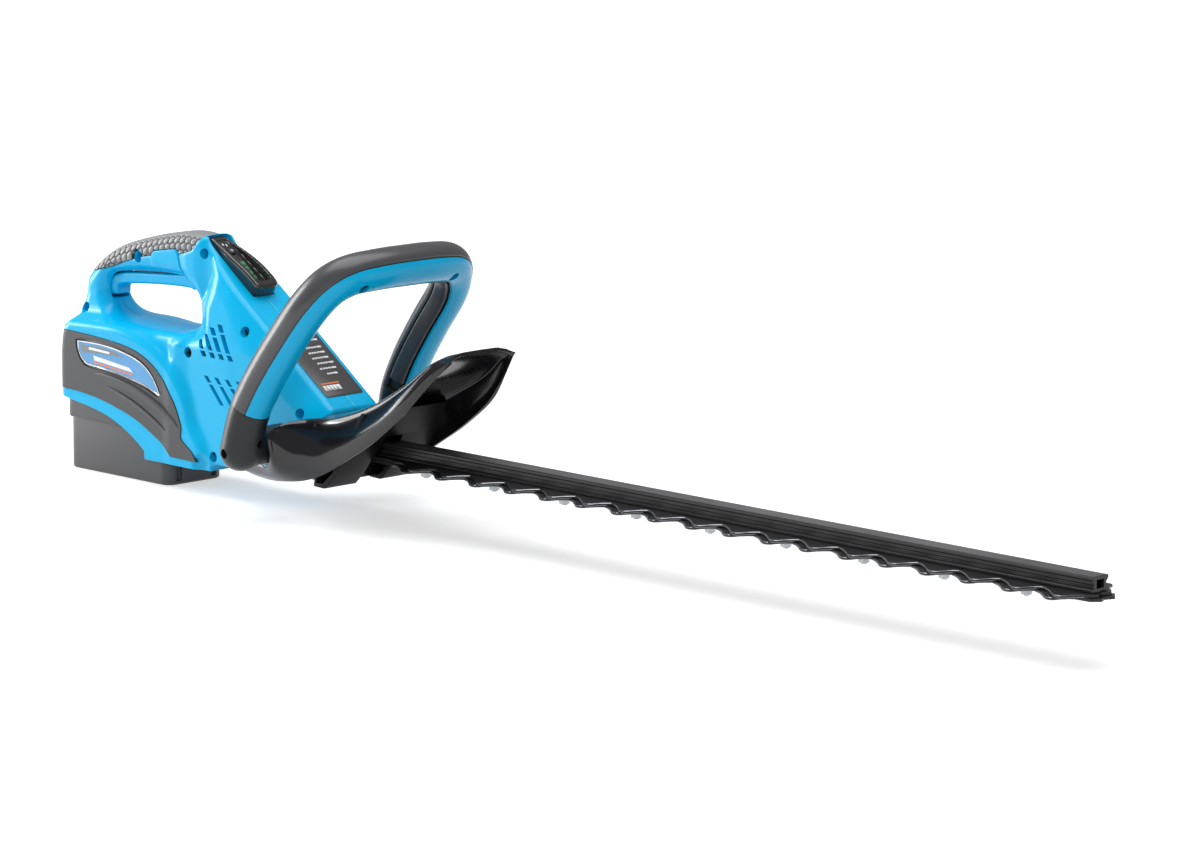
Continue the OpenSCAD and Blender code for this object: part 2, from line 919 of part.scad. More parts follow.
elbow_y = 66;
elbow_r = tube_r + 0.2;
function elbow_ring(i, r, along) =
    [for (a = [0:20:340]) tube_point(i, r * sin(a), r * cos(a)) + along * tangent(i)];

module elbow() {
    loft(concat(
        [for (b = [75:-25:25]) elbow_ring(0, elbow_r * cos(b), -elbow_r * sin(b))],
        [for (i = [0:collar_i]) elbow_ring(i, elbow_r, 0)]));
    rod_y(-243, 54, -elbow_y, -housing_half - 0.1, 12.5);
    rod_y(-243, 54, -77, -elbow_y, 14);
    rod_y(-243, 54, -housing_half - 0.2, -bay_half + 1.5, 8);
}

module handle_elbow_right() {
    color(charcoal)
        elbow();
}

module handle_elbow_left() {
    color(charcoal)
        scale([1, -1, 1])
            elbow();
}

bar_i = collar_i + 1;
module switch_bar() {
    color(black) {
        loft([for (i = [bar_i:last_i - bar_i]) tube_arc(i, 9.5, tube_r + 0.7, 46, 92, 3)]);
        // pivot pins
        rod_y(bar_pivot[0], bar_pivot[1], -78, -63.5, 2.5);
        rod_y(bar_pivot[0], bar_pivot[1], 63.5, 78, 2.5);
    }
}

module handle_switch() {
    mid = last_i / 2;
    color(black)
        at_handle(mid)
            block([-4.5, -10, -8], [4.5, 10, 5]);
}

// ---------------------------------------------------------------- hand guard

// Free edge of the right wing, from under the elbow round the front rim to the tip
guard_rim = spline([
    [-283, -38, 27], [-264, -42, 26], [-246, -44, 25.5], [-229, -45, 27], [-211, -44.5, 30],
    [-193, -44.5, 36], [-177, -44.5, 44], [-160, -44.5, 54], [-134, -43.8, 70], [-106, -43.3, 92],
    [-86.5, -37.6, 114.6], [-71.6, -30.4, 131]
], 3);
// Upper edge of the wing, where it turns into the roof
guard_edge = spline([
    [-281, -38.5, 31], [-262, -46, 36.5], [-243, -53, 37], [-227, -63, 48], [-226, -65, 63],
    [-222, -53, 69.5], [-210, -41, 72.5], [-186, -37.5, 76.5], [-150, -39, 89], [-113, -41, 108.5],
    [-88, -37, 127.5], [-73.5, -30.4, 133]
], 3);
guard_t = 2.5;
// First station whose roof clears the nose of the housing
roof_i = 19;

// The wing's section runs from its free edge up to the turn into the roof
function wing_ring(i) =
    let (
        r = guard_rim[i],
        e = guard_edge[i],
        m = (r + e) / 2 + [0, -2.5, 0],
        turn_y = e[0] < nose_x + 5 ? min(5, -36.9 - e[1]) : 5,
        outer = [r, (r + m) / 2 + [0, -0.8, 0], m, e, e + [-1, turn_y, 2.2]],
        step = [[0, 1, 0], [0, 1, 0], [0, 1, 0], [0, 0.9, -0.7], [0, 0.3, -1]],
        inner = [for (k = [0:len(outer) - 1]) outer[k] + guard_t * step[k]]
    )
    concat(inner, reversed(outer));

function roof_ring(i) =
    let (
        e = guard_edge[i],
        half = [e + [-0.6, 3, 0.7], e + [-0.6, 8, 2.7], [e[0] - 0.6, e[1] * 0.4, e[2] + 3.4]],
        outer = concat(half, [for (p = reversed(half)) mirror_y(p)])
    )
    concat([for (p = outer) p - [0, 0, guard_t * 0.9]], reversed(outer));

module guard_screw_holes() {
    for (y = [-24, 24], z = [36, 64])
        translate([-214, y, z])
            rotate([0, 90, 0])
                cylinder(h = 30, r = 2.05, $fn = 32);
}

module hand_guard() {
    guard_last = len(guard_rim) - 1;
    color(black) {
        for (s = [-1, 1])
            mirror([0, s > 0 ? 1 : 0, 0])
                loft([for (i = [0:guard_last]) wing_ring(i)]);
        loft([for (i = [roof_i:guard_last]) roof_ring(i)]);
        difference() {
            union() {
                block([nose_x + 0.3, -41, 28], [-201.2, 41, 72.5]);
                side_plate(-42.2, 42.2, [
                    [-203, 27], [-190, 27], [-163.5, 64], [-149, 86], [-152.5, 86], [-166.5, 64.5],
                    [-193, 29.8], [-203, 29.8]
                ]);
            }
            block([-220, -12.5, 20], [-120, 12.5, 49.4]);
            block([-220, -8.4, 42], [-120, 8.4, 63.9]);
            guard_screw_holes();
        }
    }
}

module guard_screws() {
    color(steel)
        for (y = [-24, 24], z = [36, 64])
            translate([-213, y, z])
                rotate([0, 90, 0]) {
                    cylinder(h = 12, r = 1.95, $fn = 32);
                    translate([0, 0, 11.9])
                        cylinder(h = 2.4, r = 3.6, $fn = 48);
                }
}

// ---------------------------------------------------------------- battery

module pack_core(inset, z0, z1, half) {
    round_box([pack_x0 + inset, -half + inset, z0], [pack_x1 - inset, half - inset, z1], 9 - inset);
}

module battery_case() {
    color(charcoal)
        difference() {
            union() {
                round_box([pack_x0, -pack_half, 0], [pack_foot_x1, pack_half, lid_z], 9);
                pack_core(0, ledge_z, lid_z, pack_wide);
            }
            round_box([pack_x0 + 2.5, 2.5 - pack_half, 3], [pack_foot_x1 - 4, pack_half - 2.5, lid_z + 1], 6.5);
            // grooves down the front face
            for (y = [-17, 17])
                block([pack_foot_x1 - 2, y - 2.4, 4], [pack_foot_x1 + 1, y + 2.4, 36]);
        }
}

module battery_lid() {
    color(charcoal)
        difference() {
            pack_core(0, lid_z + eps, pack_h, pack_wide);
            pack_core(2.5, lid_z - 1, pack_h - 2.5, pack_half);
            // recess for the tool's terminal block
            block([-387, -16, 68], [-370, 16, 90]);
            // opening for the latch button
            block([-500, -9, 65], [-487, 9, 76]);
        }
}

cell_x = [for (i = [0:4]) (pack_x0 + pack_foot_x1) / 2 + 1 + 20.6 * (i - 2)];
cell_y = [-9.8, 9.8];

module battery_cells() {
    color("mediumseagreen")
        for (x = cell_x, y = cell_y) {
            rod_z(x, y, 4, 65, 9);
            rod_z(x, y, 65 - eps, 66.2, 3);
        }
}

module cell_holder() {
    color(black)
        for (z = [8, 52])
            difference() {
                block([pack_x0 + 5, -21.5, z], [pack_foot_x1 - 5, 21.5, z + 6]);
                for (x = cell_x, y = cell_y)
                    rod_z(x, y, z - 1, z + 7, 9.05);
            }
}

module battery_board() {
    color("darkgreen")
        block([-480, -20, 70], [-392, 20, 71.6]);
}

module battery_contacts() {
    color("goldenrod")
        for (y = [-9, 0, 9])
            block([-391.9, y - 0.45, 71], [-374.8, y + 0.45, 74.5]);
}

module battery_latch() {
    color(black) {
        block([-497.5, -8.6, 68.4], [-491, 8.6, 75.6]);
        block([-491.05, -10.5, 68.4], [-488.2, 10.5, 75.2]);
        for (z = [69.6, 71.6, 73.6])
            block([-498, -7, z], [-497.4, 7, z + 0.9]);
    }
}

module latch_spring() {
    color(steel)
        for (y = [-5, 5], i = [0:1])
            translate([-489.6, y, 65.4 + 0.65 * i])
                rotate_extrude($fn = 32)
                    translate([1, 0])
                        circle(r = 0.3, $fn = 16);
}

housing_right();
housing_left();
side_panel_right();
side_panel_left();
badge_right();
badge_left();
rear_grip_cover();
housing_screws();
display_bezel();
display_button();
display_lights();
display_board();
rating_plate();
trigger();
trigger_switch();
trigger_spring();
controller_board();
terminal_block();
motor_can();
motor_magnets();
motor_rotor();
pinion();
fan();
drive_gear();
upper_bearing();
lower_bearing();
gearbox_base();
gearbox_cover();
rail();
rail_screws();
upper_blade();
lower_blade();
blade_bolts();
blade_nuts();
handle_front_shell();
handle_rear_shell();
handle_elbow_right();
handle_elbow_left();
switch_bar();
handle_switch();
handle_screws();
hand_guard();
guard_screws();
battery_case();
battery_lid();
battery_cells();
cell_holder();
battery_board();
battery_contacts();
battery_latch();
latch_spring();
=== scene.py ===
"""Looks of a cordless hedge trimmer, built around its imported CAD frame.

Shapes are worked out in millimetres, in the CAD frame, and turned into metres when a mesh is made.
Organic shells are distance fields meshed by surface nets and then cut with crisp prisms.
"""
import math

import bmesh
import bpy
import numpy as np
from mathutils import Matrix, Vector


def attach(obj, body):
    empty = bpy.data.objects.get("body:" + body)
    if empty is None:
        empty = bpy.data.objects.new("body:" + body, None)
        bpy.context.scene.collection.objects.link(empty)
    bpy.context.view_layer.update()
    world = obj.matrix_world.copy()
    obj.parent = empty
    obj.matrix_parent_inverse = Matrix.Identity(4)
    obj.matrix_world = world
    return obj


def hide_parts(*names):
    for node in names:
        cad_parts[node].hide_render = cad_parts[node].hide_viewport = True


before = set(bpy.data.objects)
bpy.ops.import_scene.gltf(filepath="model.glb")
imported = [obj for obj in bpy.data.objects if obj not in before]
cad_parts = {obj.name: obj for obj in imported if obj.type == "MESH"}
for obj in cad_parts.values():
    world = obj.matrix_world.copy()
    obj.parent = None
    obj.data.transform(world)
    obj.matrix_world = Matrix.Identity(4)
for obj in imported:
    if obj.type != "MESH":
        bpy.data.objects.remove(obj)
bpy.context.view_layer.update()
BODY = "trimmer"
MM = 0.001


# ------------ outlines

def spline(points, steps):
    """A smooth curve through the points, with so many steps between neighbours."""
    p = [np.array(q, float) for q in points]
    p = [2 * p[0] - p[1]] + p + [2 * p[-1] - p[-2]]
    out = []
    for a, b, c, d in zip(p, p[1:], p[2:], p[3:]):
        for t in np.arange(steps) / steps:
            out.append(0.5 * (2 * b + (c - a) * t + (2 * a - 5 * b + 4 * c - d) * t * t
                              + (3 * b - a - 3 * c + d) * t ** 3))
    out.append(p[-2])
    return np.array(out)


def joined(*parts):
    return np.concatenate([np.asarray(part, float) for part in parts])


def offset_outline(points, distance):
    """The closed outline moved outwards by a small distance."""
    p = np.asarray(points, float)
    area = np.sum(p[:, 0] * np.roll(p[:, 1], -1) - np.roll(p[:, 0], -1) * p[:, 1])
    along = np.roll(p, -1, 0) - np.roll(p, 1, 0)
    along /= np.linalg.norm(along, axis=1)[:, None] + 1e-9
    outwards = np.stack([along[:, 1], -along[:, 0]], 1) * (1 if area > 0 else -1)
    return p + outwards * distance


# ------------ distance fields

def axes_of(low, high, step):
    """Three grid axes that broadcast against each other."""
    x, y, z = [np.arange(a, b + step, step) for a, b in zip(low, high)]
    return x[:, None, None], y[None, :, None], z[None, None, :]


def outline_field(u, v, points):
    """Signed distance to a closed outline, negative inside. u and v broadcast."""
    p = np.asarray(points, float)
    u, v = np.broadcast_arrays(u, v)
    best = np.full(u.shape, 1e9)
    inside = np.zeros(u.shape, bool)
    for a, b in zip(p, np.roll(p, -1, 0)):
        e = b - a
        length = e @ e
        if length < 1e-12:
            continue
        du, dv = u - a[0], v - a[1]
        t = np.clip((du * e[0] + dv * e[1]) / length, 0, 1)
        best = np.minimum(best, (du - e[0] * t) ** 2 + (dv - e[1] * t) ** 2)
        crosses = (a[1] > v) != (b[1] > v)
        if a[1] != b[1]:
            inside ^= crosses & (u < a[0] + e[0] * (v - a[1]) / (b[1] - a[1]))
    return np.where(inside, -1, 1) * np.sqrt(best)


def round_both(a, b, r):
    """The intersection of two fields with a fillet of radius r along the edge."""
    return (np.minimum(np.maximum(a + r, b + r), 0)
            + np.hypot(np.maximum(a + r, 0), np.maximum(b + r, 0)) - r)


def melt(a, b, r):
    """The union of two fields with a soft valley of size r."""
    h = np.maximum(r - np.abs(a - b), 0) / r
    return np.minimum(a, b) - h * h * r * 0.25


def surface(field, axes):
    """Surface nets: one vertex in each cell that the surface crosses, then pulled on to it."""
    x, y, z = [a.ravel() for a in axes]
    step = x[1] - x[0]
    for a in axes:
        field = np.maximum(field, np.maximum(a.min() + 1.5 * step - a, a - a.max() + 1.5 * step))
    inside = field < 0
    cells = np.zeros(tuple(n - 1 for n in field.shape), bool)
    total = np.zeros(cells.shape + (3,))
    count = np.zeros(cells.shape)
    corners = [(i, j, k) for i in (0, 1) for j in (0, 1) for k in (0, 1)]
    part = {c: tuple(slice(k, n - 1 + k) for k, n in zip(c, field.shape)) for c in corners}
    for a in corners:
        for axis in range(3):
            if a[axis]:
                continue
            b = tuple(1 if k == axis else a[k] for k in range(3))
            fa, fb = field[part[a]], field[part[b]]
            hit = inside[part[a]] != inside[part[b]]
            t = np.where(hit, fa / np.where(hit, fa - fb, 1), 0)
            for k in range(3):
                total[..., k] += np.where(hit, a[k] + (t if k == axis else 0), 0)
            count += hit
            cells |= hit
    index = -np.ones(cells.shape, int)
    where = np.argwhere(cells)
    index[cells] = np.arange(len(where))
    verts = where + total[cells] / count[cells][:, None]
    quads = []
    for axis in range(3):
        a, b = [slice(None)] * 3, [slice(None)] * 3
        a[axis], b[axis] = slice(0, -1), slice(1, None)
        change = inside[tuple(a)].astype(int) - inside[tuple(b)].astype(int)
        u, v = [k for k in range(3) if k != axis]
        for sign in (1, -1):
            at = np.argwhere(change == sign)
            ring = []
            for du, dv in ((0, 0), (-1, 0), (-1, -1), (0, -1)):
                c = at.copy()
                c[:, u] += du
                c[:, v] += dv
                ring.append(index[c[:, 0], c[:, 1], c[:, 2]])
            ring = np.stack(ring, 1)
            if (sign == 1) == (axis == 1):
                ring = ring[:, ::-1]
            quads.append(ring)
    quads = np.concatenate(quads)
    verts = pull_on(field, verts, 3)
    return np.stack([x[0], y[0], z[0]]) + verts * step, quads


def pull_on(field, verts, times):
    """Moves the vertices, in grid units, on to the field's zero level."""
    top = np.array(field.shape) - 1.001

    def value(p):
        p = np.clip(p, 0, top)
        i = p.astype(int)
        f = p - i
        out = 0
        for c in range(8):
            d = np.array([c & 1, c >> 1 & 1, c >> 2 & 1])
            w = np.prod(np.where(d, f, 1 - f), axis=1)
            j = np.minimum(i + d, np.array(field.shape) - 1)
            out = out + w * field[j[:, 0], j[:, 1], j[:, 2]]
        return out

    start = verts.copy()
    for _ in range(times):
        slope = np.stack([value(verts + d) - value(verts - d) for d in np.eye(3) * 0.5], 1)
        size = np.maximum((slope ** 2).sum(1), 1e-6)
        verts = verts - slope * (value(verts) / size)[:, None] * 0.9
        verts = start + np.clip(verts - start, -0.7, 0.7)
    return verts


# ------------ meshes

def mesh_object(name, verts, faces, smooth=35, scale=MM):
    mesh = bpy.data.meshes.new(name)
    mesh.from_pydata((np.asarray(verts) * scale).tolist(), [], [list(map(int, f)) for f in faces])
    mesh.update()
    ob = bpy.data.objects.new(name, mesh)
    bpy.context.scene.collection.objects.link(ob)
    if smooth:
        shade(ob, smooth)
    return ob


def shade(ob, angle=35):
    ob.data.shade_smooth()
    ob.data.set_sharp_from_angle(angle=math.radians(angle))


def edit_mesh(ob, change):
    """Opens the object's mesh for one change."""
    bm = bmesh.new()
    bm.from_mesh(ob.data)
    change(bm)
    bm.to_mesh(ob.data)
    bm.free()
    return ob


def outward(ob):
    return edit_mesh(ob, lambda bm: bmesh.ops.recalc_face_normals(bm, faces=bm.faces))


def field_object(name, field, axes, smooth=35):
    verts, quads = surface(field, axes)
    return mesh_object(name, verts, quads, smooth)


def closed_solid(name, low, high, smooth):
    """A closed solid between two rings with the same number of points."""
    n = len(low)
    faces = [list(range(n)), list(range(2 * n - 1, n - 1, -1))]
    faces += [[i, i + n, (i + 1) % n + n, (i + 1) % n] for i in range(n)]
    return outward(mesh_object(name, np.concatenate([low, high]), faces, smooth))


def prism(name, outline, a, b, axis="y", smooth=30):
    """An outline pushed from a to b along an axis: its points are the two other coordinates."""
    low, high = [np.insert(np.asarray(outline, float), "xyz".index(axis), h, axis=1) for h in (a, b)]
    return closed_solid(name, low, high, smooth)


def box_mesh(name, low, high):
    x0, y0, z0 = low
    x1, y1, z1 = high
    return prism(name, [(x0, y0), (x1, y0), (x1, y1), (x0, y1)], z0, z1, "z")


def round_rectangle(x0, y0, x1, y1, r, steps=6):
    out = []
    middles = ((x1 - r, y1 - r), (x0 + r, y1 - r), (x0 + r, y0 + r), (x1 - r, y0 + r))
    for quarter, (cx, cy) in enumerate(middles):
        for k in range(steps + 1):
            a = math.radians(90 * quarter + 90 * k / steps)
            out.append((cx + r * math.cos(a), cy + r * math.sin(a)))
    return out


def round_box(name, low, high, r):
    """A box whose four upright edges have the radius r."""
    return prism(name, round_rectangle(*low[:2], *high[:2], r), low[2], high[2], "z")


def rod(name, a, b, radius, sides=40):
    """A closed cylinder between two points."""
    a, b = np.array(a, float), np.array(b, float)
    w = (b - a) / np.linalg.norm(b - a)
    u = np.cross(w, [0, 0, 1] if abs(w[2]) < 0.9 else [1, 0, 0])
    u /= np.linalg.norm(u)
    v = np.cross(w, u)
    turn = np.arange(sides) * 2 * math.pi / sides
    ring = radius * (np.cos(turn)[:, None] * u + np.sin(turn)[:, None] * v)
    return closed_solid(name, a + ring, b + ring, 40)


def boolean(ob, cutter, operation="DIFFERENCE"):
    m = ob.modifiers.new("cut", "BOOLEAN")
    m.operation = operation
    m.solver = "MANIFOLD"
    m.object = cutter
    apply_modifiers(ob)
    bpy.data.objects.remove(cutter)
    return ob


def apply_modifiers(ob):
    bpy.context.view_layer.update()
    shape = bpy.data.meshes.new_from_object(ob.evaluated_get(bpy.context.evaluated_depsgraph_get()))
    ob.modifiers.clear()
    old = ob.data
    ob.data = shape
    shape.name = old.name
    bpy.data.meshes.remove(old)
    return ob


def cut(ob, cutters, smooth=32):
    for cutter in cutters:
        boolean(ob, cutter)
    shade(ob, smooth)
    return ob


def bevelled(ob, width, segments=3, angle=30, smooth=40):
    m = ob.modifiers.new("edge", "BEVEL")
    m.width = width * MM
    m.segments = segments
    m.limit_method = "ANGLE"
    m.angle_limit = math.radians(angle)
    apply_modifiers(ob)
    shade(ob, smooth)
    return ob


def loft(name, rings, smooth=40):
    """A closed skin over rings of equal length."""
    rings = np.asarray(rings, float)
    m, n = rings.shape[:2]
    faces = [[j * n + i, j * n + (i + 1) % n, (j + 1) * n + (i + 1) % n, (j + 1) * n + i]
             for j in range(m - 1) for i in range(n)]
    faces += [list(range(n))[::-1], [(m - 1) * n + i for i in range(n)]]
    return outward(mesh_object(name, rings.reshape(-1, 3), faces, smooth))


def flip(ob):
    """Turns a piece into its mirror image on the other side of the middle plane."""
    ob.data.transform(Matrix.Scale(-1, 4, (0, 1, 0)))
    ob.data.flip_normals()
    return ob


def mirrored(ob, name):
    copy = bpy.data.objects.new(name, ob.data.copy())
    bpy.context.scene.collection.objects.link(copy)
    return flip(copy)


def dress(ob, material, slot, *nodes, body=BODY):
    """Gives a piece its material and body, and hides the CAD nodes that it stands for. The slot is not used.
    """
    if material:
        ob.data.materials.clear()
        ob.data.materials.append(MAT[material])
    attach(ob, body)
    if nodes:
        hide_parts(*nodes)
    return ob


# ------------ materials

def add(tree, kind, *sources, **values):
    """A shader node. The sources go to its first inputs, and the values to its inputs or settings."""
    node = tree.nodes.new(kind)
    for key, value in values.items():
        if key in node.inputs:
            node.inputs[key].default_value = value
        else:
            setattr(node, key, value)
    for source, socket in zip(sources, node.inputs):
        tree.links.new(source, socket)
    return node


def grained(name, colour, rough, spread, grain, bump, coat=0.0, metallic=0.0, rough_spread=0.05):
    """A moulded or metal surface: slow drift of colour and gloss, and a fine grain."""
    m = bpy.data.materials.new(name)
    m.use_nodes = True
    t = m.node_tree
    shader = t.nodes["Principled BSDF"]
    place = add(t, "ShaderNodeTexCoord").outputs["Object"]
    slow = add(t, "ShaderNodeTexNoise", place, Scale=9, Detail=3.0).outputs["Fac"]
    fine = add(t, "ShaderNodeTexNoise", place, Scale=grain, Detail=2.0).outputs["Fac"]
    ramp = add(t, "ShaderNodeValToRGB", slow)
    for stop, position, share in zip(ramp.color_ramp.elements, (0.3, 0.7), (1 - spread, 1 + spread)):
        stop.position = position
        stop.color = [min(1, c * share) for c in colour] + [1]
    t.links.new(ramp.outputs["Color"], shader.inputs["Base Color"])
    gloss = add(t, "ShaderNodeMapRange", fine)
    gloss.inputs["To Min"].default_value = max(0.02, rough - rough_spread)
    gloss.inputs["To Max"].default_value = rough + rough_spread
    t.links.new(gloss.outputs["Result"], shader.inputs["Roughness"])
    if bump:
        relief = add(t, "ShaderNodeBump", Strength=bump, Distance=0.0004)
        t.links.new(fine, relief.inputs["Height"])
        t.links.new(relief.outputs["Normal"], shader.inputs["Normal"])
    shader.inputs["Metallic"].default_value = metallic
    shader.inputs["Coat Weight"].default_value = coat
    shader.inputs["Coat Roughness"].default_value = 0.06
    return m


BLUE = (0.0, 0.44, 0.78)
# name, colour, roughness, drift of colour, scale of the grain, bump, coat, metallic, drift of roughness
MATERIALS = {
    "blue": ("blue_shell", BLUE, 0.26, 0.02, 500, 0.008, 0.15, 0, 0.03),
    "panel": ("charcoal_panel", (0.040, 0.041, 0.044), 0.40, 0.06, 1600, 0.08),
    "elbow": ("elbow_plastic", (0.016, 0.017, 0.019), 0.32, 0.06, 1500, 0.03),
    "battery": ("battery_plastic", (0.060, 0.061, 0.064), 0.40, 0.06, 1500, 0.10),
    "grip": ("grip_rubber", (0.24, 0.245, 0.25), 0.38, 0.08, 1300, 0.08),
    # groove: near-black colour for the bottoms of the honeycomb grooves, painted shade.
    "groove": ("grip_groove", (0.022, 0.022, 0.024), 0.60, 0.05, 900, 0.0),
    "grip_top": ("handle_grip", (0.060, 0.061, 0.066), 0.30, 0.08, 1500, 0.05),
    "gloss": ("gloss_black", (0.008, 0.008, 0.010), 0.13, 0.10, 300, 0.0, 0.1, 0, 0.02),
    "bezel": ("bezel_black", (0.020, 0.021, 0.020), 0.12, 0.10, 300, 0.004, 0.5, 0, 0.02),
    "matt": ("matt_black", (0.010, 0.010, 0.011), 0.45, 0.10, 900, 0.02),
    "dark": ("dark_floor", (0.030, 0.032, 0.030), 0.45, 0.10, 900, 0.03),
    "chrome": ("silver_trim", (0.80, 0.81, 0.83), 0.22, 0.04, 500, 0.01, 0, 0.9),
    "film": ("blue_film", (0.055, 0.30, 0.62), 0.18, 0.10, 200, 0.0, 0.5),
    "film_grey": ("grey_film", (0.16, 0.19, 0.20), 0.18, 0.10, 200, 0.0, 0.5),
    "white": ("white_print", (0.80, 0.81, 0.82), 0.35, 0.03, 900, 0.01),
    "orange": ("orange_print", (0.80, 0.20, 0.05), 0.35, 0.05, 900, 0.01),
    "label": ("label_film", (0.050, 0.050, 0.052), 0.36, 0.06, 900, 0.02),
    "green": ("green_lens", (0.05, 0.30, 0.10), 0.15, 0.10, 300, 0.0, 0.5),
    "zinc": ("zinc", (0.36, 0.38, 0.40), 0.26, 0.12, 700, 0.05, 0, 1.0),
    "screw": ("black_screw", (0.02, 0.02, 0.022), 0.45, 0.10, 700, 0.02, 0, 0.5),
    "blade": ("black_blade", (0.022, 0.022, 0.024), 0.34, 0.20, 700, 0.05, 0, 0.3),
    "ground": ("ground_edge", (0.24, 0.245, 0.26), 0.30, 0.10, 900, 0.05, 0, 1.0),
    "rail": ("black_rail", (0.016, 0.016, 0.018), 0.30, 0.20, 800, 0.04, 0, 0.2),
    "rail_top": ("rail_top", (0.10, 0.10, 0.105), 0.42, 0.30, 1500, 0.25, 0, 0.3),
    "steel": ("machined_steel", (0.45, 0.45, 0.47), 0.30, 0.08, 500, 0.03, 0, 1.0),
    "cast": ("cast_alloy", (0.36, 0.37, 0.38), 0.50, 0.08, 400, 0.12, 0, 0.8),
    "board": ("solder_mask", (0.02, 0.15, 0.07), 0.30, 0.10, 300, 0.02, 0.3),
    "wrap": ("cell_wrap", (0.08, 0.42, 0.25), 0.25, 0.06, 300, 0.01, 0.3),
    "brass": ("contact_brass", (0.75, 0.55, 0.22), 0.25, 0.08, 600, 0.02, 0, 1.0),
}
MAT = {key: grained(*row) for key, row in MATERIALS.items()}

for key, level in (("blue", 0.2), ("matt", 0.15), ("elbow", 0.35)):
    MAT[key].node_tree.nodes["Principled BSDF"].inputs["Specular IOR Level"].default_value = level

NODE_MATERIALS = {
    "screw": "housing_screws handle_screws",
    "steel": "motor_can motor_rotor drive_gear pinion upper_bearing lower_bearing",
    "cast": "gearbox_base gearbox_cover",
    "board": "controller_board display_board battery_board",
    "wrap": "battery_cells",
    "brass": "battery_contacts",
    "dark": "motor_magnets fan cell_holder terminal_block trigger_switch handle_switch",
    "zinc": "guard_screws rail_screws blade_bolts blade_nuts trigger_spring latch_spring",
}
for key, names in NODE_MATERIALS.items():
    for node_name in names.split():
        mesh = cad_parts[node_name].data
        mesh.materials.clear()
        mesh.materials.append(MAT[key])


# ------------ driving shapes, millimetres

REAR_X, DECK_Z = -498.0, 118.0
HALF = 34.6
FRONT_TOP, NOSE_TOP = np.array([-354.0, 187.5]), np.array([-205.0, 79.5])
DOWN = (NOSE_TOP - FRONT_TOP) / np.linalg.norm(NOSE_TOP - FRONT_TOP)
OUT = np.array([-DOWN[1], DOWN[0]])
SCREWS = [(-427.9, 166.8, 6), (-351.2, 177.8, 6), (-486.3, 122.7, 6), (-353.6, 105.2, 25),
          (-291.5, 127.5, 16), (-324.3, 30.5, 22), (-229.5, 75, 17)]
RECESS_R = 4.0
GRIP_HALF, GRIP_ROUND = 15.3, 11
ELBOW_X, TRIGGER_PIN = -243, (-372, 162)

grip_top = spline([(-497, 118), (-493.5, 133), (-488.5, 149), (-460, 169.5), (-420, 182.3),
                   (-380, 190), (-352, 189)], 8)
grip_under = spline([(-350, 112), (-355.5, 126), (-357.2, 139), (-363.5, 150.5), (-379, 156),
                     (-410, 156.5), (-446, 153.5), (-462, 149.5), (-467, 138), (-459.5, 125),
                     (-446, 112)], 8)
grip_outline = joined(grip_top, [(-352, 110)], grip_under)
panel_top = spline([(-499, 107.2), (-467, 106.2), (-441, 104.6), (-419.6, 102.3), (-403.8, 98.6),
                    (-389.5, 92), (-379, 83.8), (-370.2, 73.7), (-362.5, 63.4), (-356.8, 51)], 6)
panel_front = spline([(-356.3, 47), (-356.9, 41), (-351, 36), (-344.5, 32), (-339.5, 25)], 3)
panel_low = spline([(-368.8, 25.6), (-378.5, 33.5), (-391.6, 40.5), (-409.8, 48.6), (-431, 54.7),
                    (-455, 59.5), (-477.8, 61.9), (-499, 62.6)], 6)
panel_outline = joined(panel_top, panel_front, panel_low)
skirt_edge = spline([(-502, 57.5), (-482, 54), (-461.8, 51.2), (-443, 47.2), (-427.2, 41.6),
                     (-411.4, 33.6), (-399.5, 25.5)], 6)
badge_outline = joined(
    spline([(-475.5, 100.2), (-462, 100.4), (-448, 100.2), (-428.7, 98.4), (-404.6, 92.8),
            (-390, 83.4), (-381, 70)], 5),
    spline([(-383, 70.2), (-400.2, 75.8), (-428.9, 80.6), (-452, 82.6), (-464.5, 83.7),
            (-470.5, 87.5), (-474.6, 94)], 5))
cover_line = spline([(-496, 148.5), (-479, 151.5), (-458, 157), (-440, 163), (-420, 168.5),
                     (-400, 172), (-380, 174.6), (-368, 177.5), (-361, 182), (-355, 192)], 5)


# ------------ housing

def grip_skin(flat, beside):
    """The rounded section of the grip, from its side outline and the distance from the middle."""
    return round_both(flat, beside - GRIP_HALF, GRIP_ROUND)


def above_cover(x, z):
    """Negative above the line where the soft cover of the grip ends."""
    return outline_field(x, z, joined(cover_line, [(-355, 210), (-505, 210)]))


def grip_field(x, y, z):
    flat = outline_field(x, z, grip_outline)
    swell = np.clip((136 - z) / 20, 0, 1) ** 2 * 5
    return grip_skin(flat, np.abs(y) - swell)


def pod_field(x, y, z):
    """The rear body over the battery, with a crowned deck and an arched front edge."""
    outline = joined(
        [(REAR_X + 0.5, 15), (REAR_X + 0.5, 100), (REAR_X + 2, 112), (REAR_X + 9, DECK_Z - 1)],
        spline([(-462, DECK_Z), (-430, DECK_Z), (-405, 113), (-383, 103), (-366, 88), (-353, 70),
                (-347, 52), (-335, 36), (-328, 15)], 5))
    flat = outline_field(x, z, outline)
    crown = 3.0 * (np.abs(y) / 35) ** 2 * np.clip((z - 90) / 25, 0, 1)
    return round_both(flat + crown, np.abs(y) - HALF, 6)


def deck_field(x, y, z):
    """The flat top behind the motor section, between the rear post and the display."""
    outline = [(-494, 60), (-494, 110), (-489, DECK_Z), (-356, DECK_Z + 0.5), (-356, 60)]
    flat = outline_field(x, z, outline)
    crown = 3.2 * (np.abs(y) / 27) ** 2
    return round_both(flat + crown, np.abs(y) - 28.5, 7)


